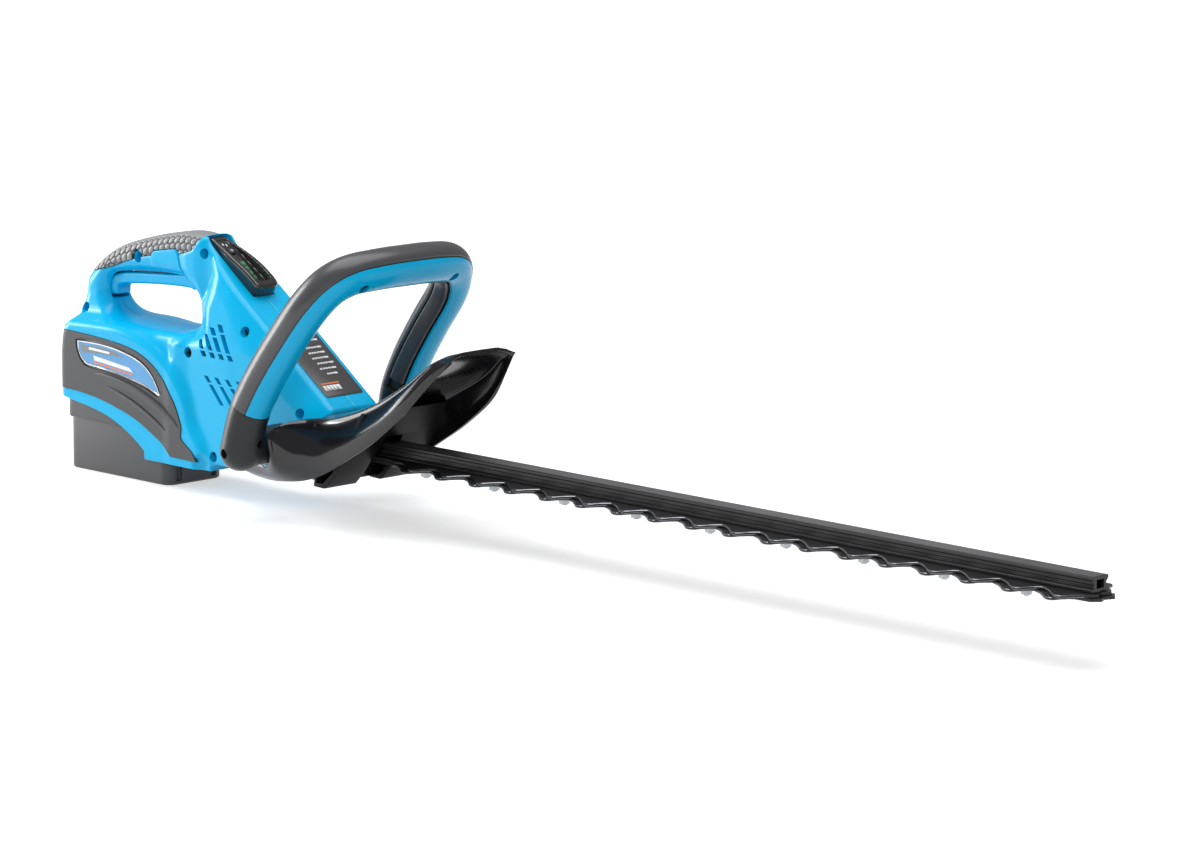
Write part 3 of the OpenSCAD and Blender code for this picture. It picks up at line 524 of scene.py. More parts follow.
def motor_field(x, y, z):
    """The leaning front body: a flat front face, a bevel beside it, and sides."""
    outline = [(-372, 15), (-371, 110), (-364, 116.5), (-357.5, 123), (-355.5, 130), (-357, 139),
               (-361.5, 147.5), (-370, 156), (-374, 178), (-366, 189), FRONT_TOP,
               NOSE_TOP, (-204, 74), (-204, 36), (-209, 30), (-222, 27.4), (-262, 26.2),
               (-288, 24.4), (-330, 24.4), (-356, 15)]
    flat = outline_field(x, z, outline)
    depth = -((x - FRONT_TOP[0]) * OUT[0] + (z - FRONT_TOP[1]) * OUT[1])
    down = (x - FRONT_TOP[0]) * DOWN[0] + (z - FRONT_TOP[1]) * DOWN[1]
    face_half = 15.5 + 7.5 * np.clip((down + 8) / 62, 0, 1)
    bevel = face_half + 0.58 * np.maximum(depth, 0)
    top = HALF - 0.4 - np.maximum(z - 112, 0) * 0.2
    low_rear = 30.8 + np.clip((x + 352) / 45, 0, 1) * 3.4
    upper = np.clip((z - 140) / 24, 0, 1)
    waist = 12.2 + 3.4 * upper + np.maximum(x + 357 - 15 * upper, 0) * 0.82
    height = np.clip((z - 108) / 17, 0, 1)
    height = height * height * (3 - 2 * height)
    rear = low_rear + (np.minimum(waist, low_rear) - low_rear) * height
    width = melt(melt(bevel, top, 3), rear, 7)
    return round_both(flat, np.abs(y) - width, 3.2)


def housing_half():
    """The left half, from y = 0 outwards, before its recesses."""
    x, y, z = axes = axes_of((-502, -2.4, 17), (-199, 38.5, 194), 1.2)
    grip = grip_field(x, y, z)
    field = melt(pod_field(x, y, z), deck_field(x, y, z), 6)
    field = melt(field, motor_field(x, y, z), 9)
    field = melt(field, grip, 9)
    field = np.maximum(field, np.minimum(-above_cover(x, z), grip + 2.4))
    scoop = np.sqrt((x + 333) ** 2 + (z - 22) ** 2 + (np.abs(y) - 62) ** 2 * 0.45) - 21
    field = np.maximum(field, -scoop)
    return field_object("housing_left", field, axes)


def slot_outline(x, lean, z0, z1, width, low):
    """A leaning slot whose left edge passes through (x, low)."""
    a, b = lean * (z0 - low), lean * (z1 - low)
    return [(x - a, z0), (x - b, z1), (x + width - b, z1), (x + width - a, z0)]


def vent_cutters():
    cutters = []
    for i, top in enumerate((116.5, 121.5, 127, 130)):
        x = -336.6 + 10.3 * i
        spans = [(104.6, 108.6), (110, top)]
        if i >= 2:
            spans[1:] = [(110, top - 7), (top - 5.6, top)]
        for a, b in spans:
            cutters.append(prism("vent", slot_outline(x, 0.6, a, b, 5.3, 104), 18, 60))
    for i in range(4):
        x = -315.6 + 12.2 * i
        for a, b in ((70.5, 84.4), (85.8, 90.4)):
            cutters.append(prism("vent", slot_outline(x, 0.95, a, b, 4.4, 70), 18, 60))
    return cutters


def cavity_cutters():
    def face(along, up):
        return tuple(FRONT_TOP + DOWN * along + OUT * up)

    return [
        box_mesh("bay", (-510, -1, -1), (-369.5, 31.5, 81)),
        box_mesh("board_room", (-490, -1, 84), (-372, 24.6, 110)),
        prism("motor_room", [(-363, 27), (-363, 112), (-348, 113), (-338, 118), (-333, 154),
                             (-208, 74), (-208, 27)], -1, 21.0),
        prism("wide_room", [(-360, 31), (-360, 104), (-347, 110), (-328, 113), (-250, 68),
                            (-214, 50), (-214, 31)], 20.8, 29.0),
        box_mesh("nose_opening", (-215, -1, 43), (-200, 13, 61)),
        prism("trigger_channel", [
            (-367, 149), (-367, 168), (-378, 175), (-385, 175), (-441, 166.5), (-460, 161.5),
            (-468, 157.5), (-475.5, 150), (-476.5, 142), (-476.5, 131.2), (-456, 131.2), (-456, 142),
            (-430, 148), (-390, 151)], -1, 8.2),
        prism("display_pocket", [face(-1.6, -1.6), face(-1.6, 12), face(63.4, 12), face(63.4, -8),
                                 face(13, -8), face(13, -1.6)], -1, 10.6),
        prism("under_skirt", joined(skirt_edge, [(-399.5, 10), (-510, 10)]), -1, 60),
        prism("panel_seat", offset_outline(panel_outline, 0.35), HALF - 2.4, 60),
    ]


def make_housing():
    left = housing_half()
    cut(left, cavity_cutters() + vent_cutters())
    boolean(left, box_mesh("middle", (-520, -10, 0), (-180, 0.16, 210)))
    boolean(left, rod("elbow_bore", (ELBOW_X, HALF - 5, 54), (ELBOW_X, 60, 54), 8.4))
    right = mirrored(left, "housing_right")
    for side in (-1, 1):
        # Dark sheets just inside the vent slots are painted shade: they darken the hollow seen through the
        # slots.
        shade_sheet = prism("vent_painted_shade_" + ("right" if side < 0 else "left"), [
            (-344, 100), (-344, 118), (-334, 124), (-318, 133), (-300, 133), (-262, 95), (-262, 66),
            (-322, 66)], side * 24.6, side * 25.6)
        dress(shade_sheet, "dark", "dark_panel")
    for x, z, depth in SCREWS:
        boolean(right, rod("recess", (x, -60, z), (x, -max(depth, 4.5) - 0.2, z), RECESS_R))
    for half, body_side in ((left, "left"), (right, "right")):
        shade(half, 32)
        dress(half, "blue", "blue_shell", "housing_" + body_side)


def ribbon(name, path, widths, heights):
    """A raised ridge along a path in (x, z): rounded, and tapering to points."""
    p = np.asarray(path, float)
    along = np.gradient(p, axis=0)
    along /= np.linalg.norm(along, axis=1)[:, None]
    across = np.stack([-along[:, 1], along[:, 0]], 1)
    rings = []
    for c, a, w, h in zip(p, across, widths, heights):
        ring = []
        for u, lift in ((-1, -1.5), (-1, 0.05), (-0.5, 0.3), (0.1, 0.75), (0.5, 1.0), (0.8, 0.85),
                        (1, 0.05), (1, -1.5)):
            q = c + a * u * w
            ring.append((q[0], HALF + 0.3 + (lift * h if lift > 0 else lift), q[1]))
        rings.append(ring)
    return loft(name, rings, smooth=50)


def make_side(side, tag):
    """The dark panel with its badge and ridges, on the side y * side > 0."""
    axes = axes_of((-502, 20, 17), (-330, 38.5, 124), 1.3)
    base = field_object("base", melt(pod_field(*axes), motor_field(*axes), 10) - 0.5, axes)
    panel = prism("side_panel_" + tag, panel_outline, HALF - 2.0, 45)
    boolean(panel, base, "INTERSECT")
    boolean(panel, prism("badge_seat", offset_outline(badge_outline, 2.1), HALF - 1.0, 60))
    panel.data.materials.clear()
    bevelled(panel, 0.35, 2, 40)
    ridges = []
    for part, line, thin, wide, low, high in (
            ("", [(-457, 76.6), (-440.6, 75.8), (-413, 70.6), (-384.4, 60.5), (-365.2, 51),
                  (-357.8, 45.5)], 0.5, 4.2, 0.4, 2.3),
            ("low_", [(-446, 69.5), (-430, 66.0), (-408, 59.0), (-386, 49.5), (-368, 40)],
             0.4, 2.0, 0.3, 1.2)):
        crest = spline(line, 8)
        hump = np.sin(np.pi * np.clip(np.linspace(0, 1, len(crest)), 0.02, 0.98)) ** 0.7
        ridges.append(ribbon("panel_ridge_" + part + tag, crest, thin + wide * hump, low + high * hump))
    film = prism("badge_" + tag, offset_outline(badge_outline, -0.7), HALF - 1.8, HALF + 0.15)
    border = prism("badge_border_" + tag, offset_outline(badge_outline, 0.2), HALF - 1.8, HALF + 0.35)
    boolean(border, prism("hole", offset_outline(badge_outline, -0.6), HALF - 2, HALF + 4))
    grey = prism("badge_band_" + tag, [(-472.5, 97.8), (-448, 98.0), (-431, 96.3), (-421, 93.6),
                                       (-442, 93.4), (-470.5, 92.2)], HALF - 0.5, HALF + 0.22)
    pieces = [(panel, "panel", "side_panel_" + tag), (ridges[0], "panel"), (ridges[1], "panel"),
              (film, "film", "badge_" + tag), (border, "chrome"), (grey, "film_grey")]
    for part, material, outline in (
            ("bar", "white", [(-462, 96.9), (-438, 95.7), (-438.4, 94.1), (-462.4, 95.0)]),
            ("stripe", "white", [(-457, 91.0), (-416, 86.6), (-411, 83.4), (-456, 87.4)]),
            ("accent", "orange", [(-457, 86.6), (-412, 82.3), (-412, 81.2), (-457, 85.4)])):
        print_mark = prism("badge_%s_%s" % (part, tag), outline, HALF - 0.3, HALF + 0.32)
        pieces.append((print_mark, material))
    for ob, material, *nodes in pieces:
        if side < 0:
            flip(ob)
        dress(ob, material, "dark_panel" if material == "panel" else "badge_film", *nodes)


def honeycomb(u, v, pitch):
    """0 at the edge of a hexagonal cell, rising towards its middle. u and v in millimetres."""
    rise = pitch * math.sqrt(3)
    best = pitch
    for du, dv in ((0, 0), (pitch / 2, rise / 2)):
        a, b = (u - du) / pitch, (v - dv) / rise
        a, b = np.abs(a - np.round(a)) * pitch, np.abs(b - np.round(b)) * rise
        best = np.minimum(best, np.maximum(a, a / 2 + b * math.sqrt(3) / 2))
    return np.clip(pitch / 2 - best, 0, None)


def cover_cells(x, y, flat):
    """Honeycomb cells laid round the section of the grip, and where they are seen."""
    round_in = np.maximum(flat + GRIP_ROUND, 0.01)
    beside = np.maximum(np.abs(y) - (GRIP_HALF - GRIP_ROUND), 0)
    girth = GRIP_ROUND * np.arctan2(beside, round_in) + np.maximum(-flat - GRIP_ROUND, 0)
    return honeycomb(x, girth, 6.2), np.clip((girth - 6.5) / 1.2, 0, 1)


def make_grip_cover():
    """The soft cover of the rear grip, with rows of honeycomb cells on its sides."""
    x, y, z = axes = axes_of((-499, -17.5, 146), (-351, 17.5, 193), 0.58)
    flat = outline_field(x, z, grip_outline)
    bare = grip_skin(flat, np.abs(y))
    tab = outline_field(x, z, [(-414, 160), (-412.5, 171), (-409, 174.4), (-384, 178.4),
                               (-381, 176.5), (-377, 160)])
    screw = 6.0 - np.hypot(x - SCREWS[0][0], z - SCREWS[0][1])
    region = np.maximum(np.maximum(above_cover(x, z), -tab - 0.2), screw)
    cells, band = cover_cells(x, y, flat)
    groove = np.clip(0.9 - cells, 0, 0.9) * 0.9
    field = bare - 0.55 + (groove - np.minimum(cells, 2.2) * 0.18) * band
    field = np.maximum(round_both(field, region, 0.8), -(bare + 2.6))
    cover = field_object("rear_grip_cover", field, axes, 60)
    dress(cover, "grip", "grip_rubber", "rear_grip_cover")
    # The bottoms of the honeycomb grooves get the near-black groove material: painted shade in the grooves.
    cover.data.materials.append(MAT["groove"])
    centres = np.array([face.center for face in cover.data.polygons]) / MM
    flat = outline_field(centres[:, 0], centres[:, 2], grip_outline)
    cells, band = cover_cells(centres[:, 0], centres[:, 1], flat)
    cover.data.polygons.foreach_set("material_index", ((cells < 0.42) & (band > 0.4)).astype(int))


def make_grip_tabs():
    """The blue tabs of the shell that reach up into the cover, with a fine pattern of dots."""
    x, y, z = axes = axes_of((-415, -17.5, 158), (-375, 17.5, 181), 0.75)
    bare = grip_skin(outline_field(x, z, grip_outline), np.abs(y))
    tab = outline_field(x, z, [(-413.4, 160), (-412.0, 170.6), (-408.7, 173.8), (-384.4, 177.8),
                               (-381.6, 176), (-377.6, 160)])
    dots = np.clip(np.cos(x * 2.1) * np.cos(z * 2.1), 0, 1) * 0.28
    field = round_both(bare - 0.75 - dots * np.clip(-tab - 0.8, 0, 1), tab, 0.6)
    field = np.maximum(np.maximum(field, -(bare + 2.6)), 9.0 - np.abs(y))
    dress(field_object("grip_tabs", field, axes, 60), "blue", "blue_shell")


def make_trigger():
    outline = joined(
        spline([(-374, 146.8), (-380.3, 148), (-403.7, 147.4), (-433, 145.3), (-455, 142.8),
                (-460.6, 140), (-461.2, 134.4)], 5),
        spline([(-472.2, 133), (-473, 142), (-468, 147.6), (-456, 151.8), (-430, 154.4), (-395, 157),
                (-374, 159.5), (-368.8, 157)], 4), [(-368.8, 150)])
    x, y, z = axes = axes_of((-476, -9, 129), (-365, 9, 168), 0.8)
    flat = outline_field(x, z, outline)
    body = round_both(flat, np.abs(y) - 7.5, 2.6)
    pin_x, pin_z = TRIGGER_PIN
    hub = round_both(np.hypot(x - pin_x + 0.5, z - pin_z + 1) - 3.4, np.abs(y) - 7.5, 1)
    lever = field_object("trigger", np.minimum(body, hub), axes)
    cut(lever, [rod("pin_hole", (pin_x, -20, pin_z), (pin_x, 20, pin_z), 2.06)], 40)
    dress(lever, "blue", "blue_shell", "trigger", body="trigger_lever")


# ------------ display and label

def on_face(ob):
    """Moves a piece from face coordinates (along the slope, y, out of the face) to the frame."""
    out = Vector((OUT[0], 0, OUT[1]))
    along = Vector((DOWN[0], 0, DOWN[1]))
    m = Matrix(((along.x, 0, out.x, FRONT_TOP[0] * MM), (0, 1, 0, 0),
                (along.z, 0, out.z, FRONT_TOP[1] * MM), (0, 0, 0, 1)))
    ob.data.transform(m)
    return ob


def make_display():
    u, y, w = axes = axes_of((-5, -13, -5), (67, 13, 12), 0.6)
    profile = joined(spline([(-3, 0.4), (8, 2.8), (24, 6.4), (42, 9.4), (54, 10.2)], 5),
                     [(61.4, 9.8), (63.6, 8.2), (64.4, -4), (-3, -4)])
    half = 7.4 + 3.9 * np.clip((u + 2) / 34, 0, 1) + 0 * w
    body = round_both(outline_field(u, w, profile), np.abs(y) - half, 1.6)
    corner = np.hypot(np.maximum(u - 57.2, 0), np.maximum(np.abs(y) - 4.1, 0)) - 7.2
    body = round_both(body, corner, 1.2)
    floor = 0.6 + 0.075 * np.maximum(u, 0)
    inner = outline_field(u, y, round_rectangle(3.5, -6.9, 57.5, 6.9, 4.2)) + 0 * w
    narrow = np.abs(y) - (half - 3.2)
    trough = np.maximum(np.maximum(inner, narrow), floor - w)
    field = np.maximum(body, -trough)
    bezel = field_object("display_bezel", field, axes, 40)
    cut(bezel, [rod("button_hole", (17, 0, -9), (17, 0, 14), 3.95),
                box_mesh("window", (27.6, -3.9, -9), (50.6, 3.9, 14)),
                box_mesh("under", (13.1, -20, -9), (70, 20, -3.9))], 40)
    dress(on_face(bezel), "bezel", "gloss_black", "display_bezel")
    button = rod("display_button", (17, 0, -3.6), (17, 0, 3.3), 3.45)
    dress(on_face(bevelled(button, 0.5)), "elbow", "gloss_black", "display_button", body="check_button")
    mark = rod("button_mark", (17, 0, 3.2), (17, 0, 3.4), 1.1, 20)
    boolean(mark, rod("mark_hole", (17, 0, 3), (17, 0, 4), 0.75, 20))
    dress(on_face(mark), "white", "gloss_black", body="check_button")
    lens = round_box("display_lens", (28, -3.6, -3.6), (50.2, 3.6, 3.2), 1.0)
    dress(on_face(bevelled(lens, 0.3)), "dark", "indicator", "display_lights")
    for i in range(4):
        bar = round_box("charge_light_%d" % i, (29.6 + 5.1 * i, -2.5, 3.0), (33.2 + 5.1 * i, 2.5, 3.5), 0.6)
        dress(on_face(bevelled(bar, 0.15)), "green", "indicator")
    for i, (a, b) in enumerate(((-2.4, -1.4), (0.4, 1.4))):
        tick = box_mesh("display_tick_%d" % i, (7.5 + i, a, 0.9), (9.6 + i, b, 1.6))
        dress(on_face(tick), "white", "indicator")


def make_label():
    """The dark data label on the front face, with generic rows of print."""
    foot, top = 0.3, 0.52
    plate = round_box("rating_plate", (104, -18.2, -0.2), (171.5, 18.2, 0.45), 2.2)
    dress(on_face(bevelled(plate, 0.12, 2)), "label", "dark_panel", "rating_plate")
    rows = [(113, 0.5, 14.5), (120.5, -2, 13), (126, -3, 12.5), (131.5, -3.5, 12), (137, -2.5, 13),
            (142.5, -4, 11.5), (148, -1, 9)]
    for k, (u, a, b) in enumerate(rows):
        row = box_mesh("print_row_%d" % k, (u, a, foot), (u + 1.7, b, top))
        boolean_gaps(row, u, a, b, 2.6)
        dress(on_face(row), "white", "dark_panel")
    for k, v in enumerate((3, 9, 13.5)):
        icon = rod("print_icon_%d" % k, (108, v, 0.3), (108, v, 0.53), 2.2, 24)
        boolean(icon, rod("inner", (108, v, 0), (108, v, 1), 1.5, 24))
        dress(on_face(icon), "white", "dark_panel")
    wide = box_mesh("print_band", (160, -14, foot), (165, 2, top))
    boolean_gaps(wide, 160, -14, 2, 3.2)
    dress(on_face(wide), "white", "dark_panel")
    line = box_mesh("print_line", (157.4, -14, foot), (158.6, 3.5, top))
    dress(on_face(line), "orange", "dark_panel")


def boolean_gaps(row, u, a, b, pitch):
    """Cuts a printed row into short words."""
    for k in range(1, int((b - a) / pitch)):
        v = a + pitch * k
        boolean(row, box_mesh("gap", (u - 1, v - 0.22, 0), (u + 9, v + 0.22, 1)))


# ------------ front handle

LEG = [(ELBOW_X, -77, 52), (-239, -75.5, 70), (-234, -74.5, 84), (-220, -73, 108), (-201, -71.5, 134),
       (-180, -69.5, 160), (-167, -61.5, 177), (-158.5, -48, 185.5), (-153, -25, 188.5)]
HANDLE = LEG + [(-152, 0, 189)] + [(x, -y, z) for x, y, z in reversed(LEG)]
STEPS = 8
TUBE_R = 14.5
COLLAR = 2 * STEPS


def handle_frames():
    line = spline(HANDLE, STEPS)
    along = np.gradient(line, axis=0)
    along /= np.linalg.norm(along, axis=1)[:, None]
    lean = np.radians(76 + (52 - 76) * np.clip((line[:, 2] - 54) / 90, 0, 1))
    f = np.stack([np.sin(lean), 0 * lean, -np.cos(lean)], 1)
    f -= (f * along).sum(1)[:, None] * along
    f /= np.linalg.norm(f, axis=1)[:, None]
    return line, along, f, np.cross(along, f)


LINE, ALONG, FORWARD, INWARD = handle_frames()


def on_handle(i, inward, forward):
    """A point beside the i-th point of the handle's middle line."""
    return LINE[i] + INWARD[i] * inward + FORWARD[i] * forward


def section_loft(name, section, first, last, smooth=40):
    """A closed section of (inward, forward) points carried along the handle."""
    rings = [[on_handle(i, u, v) for u, v in section] for i in range(first, last)]
    return loft(name, rings, smooth=smooth)


def arc(r, a0, a1, n):
    a = np.radians(np.linspace(a0, a1, n))
    return np.stack([r * np.sin(a), r * np.cos(a)], 1)


def make_handle():
    first, last = COLLAR, len(LINE) - COLLAR
    front = joined(arc(TUBE_R, -57, 34, 22), arc(TUBE_R - 0.8, 37, 39, 2), arc(11.6, 39, -57, 14))
    shell = section_loft("handle_front_shell", front, first, last)
    knuckle = round(STEPS * 7.3)
    cut(shell, [rod("recess", on_handle(i, 1.5, 8), on_handle(i, 1.5, 25), 4.2)
                for i in (knuckle, len(LINE) - 1 - knuckle)], 35)
    dress(shell, "blue", "blue_shell", "handle_front_shell")
    rear = joined(arc(TUBE_R + 0.1, 102, 104, 2), arc(TUBE_R + 0.55, 107, 296, 34),
                  arc(TUBE_R + 0.1, 298, 300, 2), arc(12.0, 300, 103, 16))
    dress(section_loft("handle_rear_shell", rear, first, last), "grip_top", "grip_rubber",
          "handle_rear_shell")
    seam = joined(arc(TUBE_R - 0.9, 294, 308, 5), arc(TUBE_R - 3.0, 308, 294, 3))
    dress(section_loft("handle_seam", seam, first, last), "dark", "grip_rubber")
    core = arc(10.6, 0, 350, 24)
    dress(section_loft("handle_core", core, first - 2, last + 2), "dark", "grip_rubber")
    bar = joined(arc(14.4, 94.5, 95, 2), arc(15.1, 90, 52, 12), arc(14.4, 48, 47, 2), arc(10.9, 48, 94, 6))
    start = COLLAR + 3
    dress(section_loft("switch_bar", bar, start, len(LINE) - start), "grip_top",
          "dark_panel", "switch_bar", body="front_switch_bar")


def make_elbow():
    """The dark elbow that joins a leg of the handle to the body: right side first, then its mirror."""
    x, y, z = axes = axes_of((-264, -97, 30), (-212, -30, 92), 1.0)
    field = np.inf
    for a, b in zip(LINE[:COLLAR], LINE[1:]):
        e = b - a
        t = np.clip(((x - a[0]) * e[0] + (y - a[1]) * e[1] + (z - a[2]) * e[2]) / (e @ e), 0, 1)
        far = [q - a[k] - e[k] * t for k, q in enumerate(axes)]
        d = np.sqrt(far[0] ** 2 + far[1] ** 2 + far[2] ** 2) - (TUBE_R + 0.35)
        field = np.minimum(field, d)
    end, way = LINE[COLLAR], ALONG[COLLAR]
    field = np.maximum(field, (x - end[0]) * way[0] + (y - end[1]) * way[1] + (z - end[2]) * way[2])
    stub = round_both(np.hypot(x - ELBOW_X, z - 53.5) - 13.6, np.abs(y + 56) - 20.6, 2)
    field = melt(field, stub, 5)
    elbow = field_object("handle_elbow_right", field, axes, 45)
    cut(elbow, [rod("recess", (-245, -100, 51), (-245, -84.5, 51), 3.6),
                rod("recess", on_handle(4, 3, 8), on_handle(4, 6, 25), 3.4)], 40)
    left = mirrored(elbow, "handle_elbow_left")
    dress(elbow, "elbow", "dark_panel", "handle_elbow_right")
    dress(left, "elbow", "dark_panel", "handle_elbow_left")
    lip = [(-TUBE_R + 0.1, -0.25), (-TUBE_R - 0.42, -0.25), (-TUBE_R - 0.42, 0.25), (-TUBE_R + 0.1, 0.25)]
    rings = [[on_handle(i, u, v) for u, v in lip] for i in range(COLLAR + 1)]
    for tag in ("right", "left"):
        seam = loft("elbow_seam_" + tag, rings)
        if tag == "left":
            flip(seam)
        dress(seam, "dark", "dark_panel")


# ------------ hand guard

RIM = [(-283, -38, 27), (-264, -42, 26), (-246, -44, 25.5), (-229, -45, 27), (-211, -44.5, 30),
       (-193, -44.5, 36), (-177, -44.5, 44), (-160, -44.5, 54), (-134, -43.8, 70), (-106, -43.3, 92),
       (-86.5, -37.6, 114.6), (-71.6, -30.4, 131)]
EDGE = [(-281, -38.5, 31), (-262, -46, 36.5), (-243, -53, 37), (-227, -63, 48), (-226, -65, 63),
        (-222, -53, 69.5), (-210, -41, 72.5), (-186, -37.5, 76.5), (-150, -39, 89), (-113, -41, 108.5),
        (-88, -37, 127.5), (-73.5, -30.4, 133)]
NOSE_X = -204


def make_guard():
    """The hood: a wing rises from the rim on each side, and ahead of the nose a roof joins them."""
    rim, edge = spline(RIM, STEPS), spline(EDGE, STEPS)
    rows = []
    for r, e in zip(rim, edge):
        middle = (r + e) / 2 + (0, -2.5, 0)
        turn = min(5, -36.8 - e[1]) if e[0] < NOSE_X + 1 else 5
        wing = spline([r, (r + middle) / 2 + (0, -0.9, 0), middle, e, e + (-1, turn, 2.2)], 4)
        roof = spline([wing[-1], e + (-1.4, 10, 3.2), (e[0] - 1.9, e[1] * 0.55, e[2] + 3.9),
                       (e[0] - 2, 0, e[2] + 4.1)], 4)[1:]
        half = np.concatenate([wing, roof])
        rows.append(np.concatenate([half, half[-2::-1] * (1, -1, 1)]))
    first_roof = int(np.argmax(edge[:, 0] > NOSE_X + 1.5))
    full = len(rows[0])
    faces = []
    for j in range(len(rows) - 1):
        for i in range(full - 1):
            in_roof = len(wing) - 1 <= i < full - len(wing)
            if j >= first_roof or not in_roof:
                faces.append([j * full + i, j * full + i + 1, (j + 1) * full + i + 1, (j + 1) * full + i])
    guard = mesh_object("hand_guard", np.concatenate(rows), faces, 0)

    def face_upwards(bm):
        bmesh.ops.delete(bm, geom=[v for v in bm.verts if not v.link_faces], context="VERTS")
        bmesh.ops.recalc_face_normals(bm, faces=bm.faces)
        if max(bm.faces, key=lambda f: f.calc_center_median().z).normal.z < 0:
            bmesh.ops.reverse_faces(bm, faces=bm.faces)

    edit_mesh(guard, face_upwards)
    m = guard.modifiers.new("skin", "SOLIDIFY")
    m.thickness = 2.4 * MM
    m.offset = -1
    m.use_even_offset = False
    apply_modifiers(guard)
    dress(bevelled(guard, 0.5, 2, 50, 40), "gloss", "gloss_black", "hand_guard")
    make_guard_wall()


def make_guard_wall():
    flange = box_mesh("guard_flange", (NOSE_X + 0.3, -41, 28), (-201.2, 41, 72.5))
    slant = prism("guard_wall", joined(
        [(-203, 26.8), (-192.5, 26.4)], spline([(-190, 27), (-178, 40), (-164, 62), (-149, 86)], 4),
        [(-152.5, 86.5)], spline([(-167, 64.5), (-181, 42), (-193.5, 30)], 4), [(-203, 29.8)]), -42.4, 42.4)
    for ob, screws in ((flange, [(y, z) for y in (-24, 24) for z in (36, 64)]), (slant, [])):
        boolean(ob, box_mesh("blade_slot", (-230, -12.4, 10), (-120, 12.4, 49.4)))
        boolean(ob, box_mesh("rail_slot", (-230, -8.4, 42), (-120, 8.4, 63.9)))
        for y, z in screws:
            boolean(ob, rod("hole", (-214, y, z), (-196, y, z), 2.05, 24))
        dress(bevelled(ob, 0.6, 3, 40), "matt", "gloss_black")
    throat = box_mesh("guard_throat", (-206.5, -33, 27.2), (-203.2, 33, 43.4))
    dress(bevelled(throat, 0.4, 2), "elbow", "gloss_black")
    notch = prism("rail_notch_lip", [(-9.3, 49.5), (-9.3, 64.8), (9.3, 64.8), (9.3, 49.5), (8.45, 49.5),
                                     (8.45, 63.95), (-8.45, 63.95), (-8.45, 49.5)], -166.5, -163.2, "x")
    lean = 0.66
    notch.data.transform(Matrix(((1, 0, lean, -lean * 64 * MM), (0, 1, 0, 0), (0, 0, 1, 0), (0, 0, 0, 1))))
    dress(bevelled(notch, 0.25, 2), "bezel", "gloss_black")


# ------------ battery

def make_battery():
    rear, front = -496, -372
    foot = front - 8
    case = round_box("battery_case", (rear, -27.8, 0), (foot, 27.8, 41), 9)
    bevelled(case, 2.2, 4, 50)
    ledge = round_box("battery_ledge", (rear - 0.2, -30.9, 39.8), (front + 0.2, 30.9, 61.9), 9)
    bevelled(ledge, 1.0, 3, 50)
    boolean(case, ledge, "UNION")
    boolean(case, box_mesh("inside", (rear + 3, -24.5, 4), (foot - 5, 24.5, 70)))
    for y in (-17, 17):
        boolean(case, round_box("front_groove", (foot - 2.6, y - 2.6, 3), (foot + 5, y + 2.6, 38), 1.2))
    shade(case, 35)
    dress(case, "battery", "pack_plastic", "battery_case", body="battery_pack")
    lid = round_box("battery_lid", (rear, -30.8, 62.1), (front, 30.8, 79), 9)
    bevelled(lid, 1.2, 3, 50)
    cut(lid, [box_mesh("terminals", (-387, -16, 68), (-370, 16, 90)),
              box_mesh("inside", (rear + 3, -27, 55), (-389, 27, 76)),
              box_mesh("latch_opening", (-500, -9, 65), (-487, 9, 76))], 35)
    dress(lid, "battery", "pack_plastic", "battery_lid", body="battery_pack")
    button = round_box("battery_latch", (-497.6, -8.5, 68.4), (-488.4, 8.5, 75.4), 1.5)
    bevelled(button, 0.6, 3, 40)
    cut(button, [box_mesh("rib", (-500, -7, z - 0.35), (-497, 7, z + 0.35))
                 for z in (69.9, 71.9, 73.9)], 35)
    dress(button, "elbow", "pack_plastic", "battery_latch", body="latch_button")


# ------------ rail and blades

TOOTH = [(-21.5, 13), (-15, 16.2), (-9, 20.6), (-2.5, 26), (0.4, 27), (3.4, 26.6), (5.4, 24.4), (6.6, 20.5),
         (9.6, 15.8), (12.5, 13)]
GEAR_X, LEAD, PITCH, FIRST_TIP, TEETH = -273, 3.5, 35, -126, 18
ROOT, TEETH_START = 13, -151
BOLT_X = [-129.5 + 2 * PITCH * i for i in range(9)]


def blade_outline(lead, end):
    yoke = GEAR_X + lead
    edge = [(yoke - 33.5, 25.6), (yoke + 33.5, 25.6), (yoke + 33.5, 11), (-160, 11), (TEETH_START, ROOT)]
    for i in range(TEETH):
        edge += [(FIRST_TIP + PITCH * i + lead + LEAD + u, v) for u, v in TOOTH]
    edge += [(end - 5, 12.5), (end, 6.5)]
    return edge + [(end - 3, 0)] + [(u, -v) for u, v in reversed(edge)]


def make_blade(name, body, z0, lead, end):
    blade = prism(name, blade_outline(lead, end), z0, z0 + 2, "z", 30)
    blade.data.materials.append(MAT["blade"])
    blade.data.materials.append(MAT["ground"])

    def grind(bm):
        """Bevels the upper and lower edges of the teeth."""
        edges = [e for e in bm.edges if len(e.link_faces) == 2
                 and abs(abs(e.link_faces[0].normal.z) - abs(e.link_faces[1].normal.z)) > 0.5
                 and min(abs(v.co.y) for v in e.verts) > (ROOT - 0.1) * MM
                 and min(v.co.x for v in e.verts) > (TEETH_START - 1) * MM]
        bmesh.ops.bevel(bm, geom=edges, offset=0.65 * MM, segments=1, affect="EDGES", profile=0.5,
                        offset_type="WIDTH", material=1)

    edit_mesh(blade, grind)
    yoke = GEAR_X + lead
    boolean(blade, box_mesh("window", (yoke - 28.5, -20.5, 30), (yoke + 28.5, 20.5, 60)))
    for x in BOLT_X:
        boolean(blade, round_box("slot", (x + lead - 10.3, -2.35, 30), (x + lead + 10.3, 2.35, 60), 2.3))
    shade(blade, 25)
    dress(blade, None, "blade_steel", name, body=body)


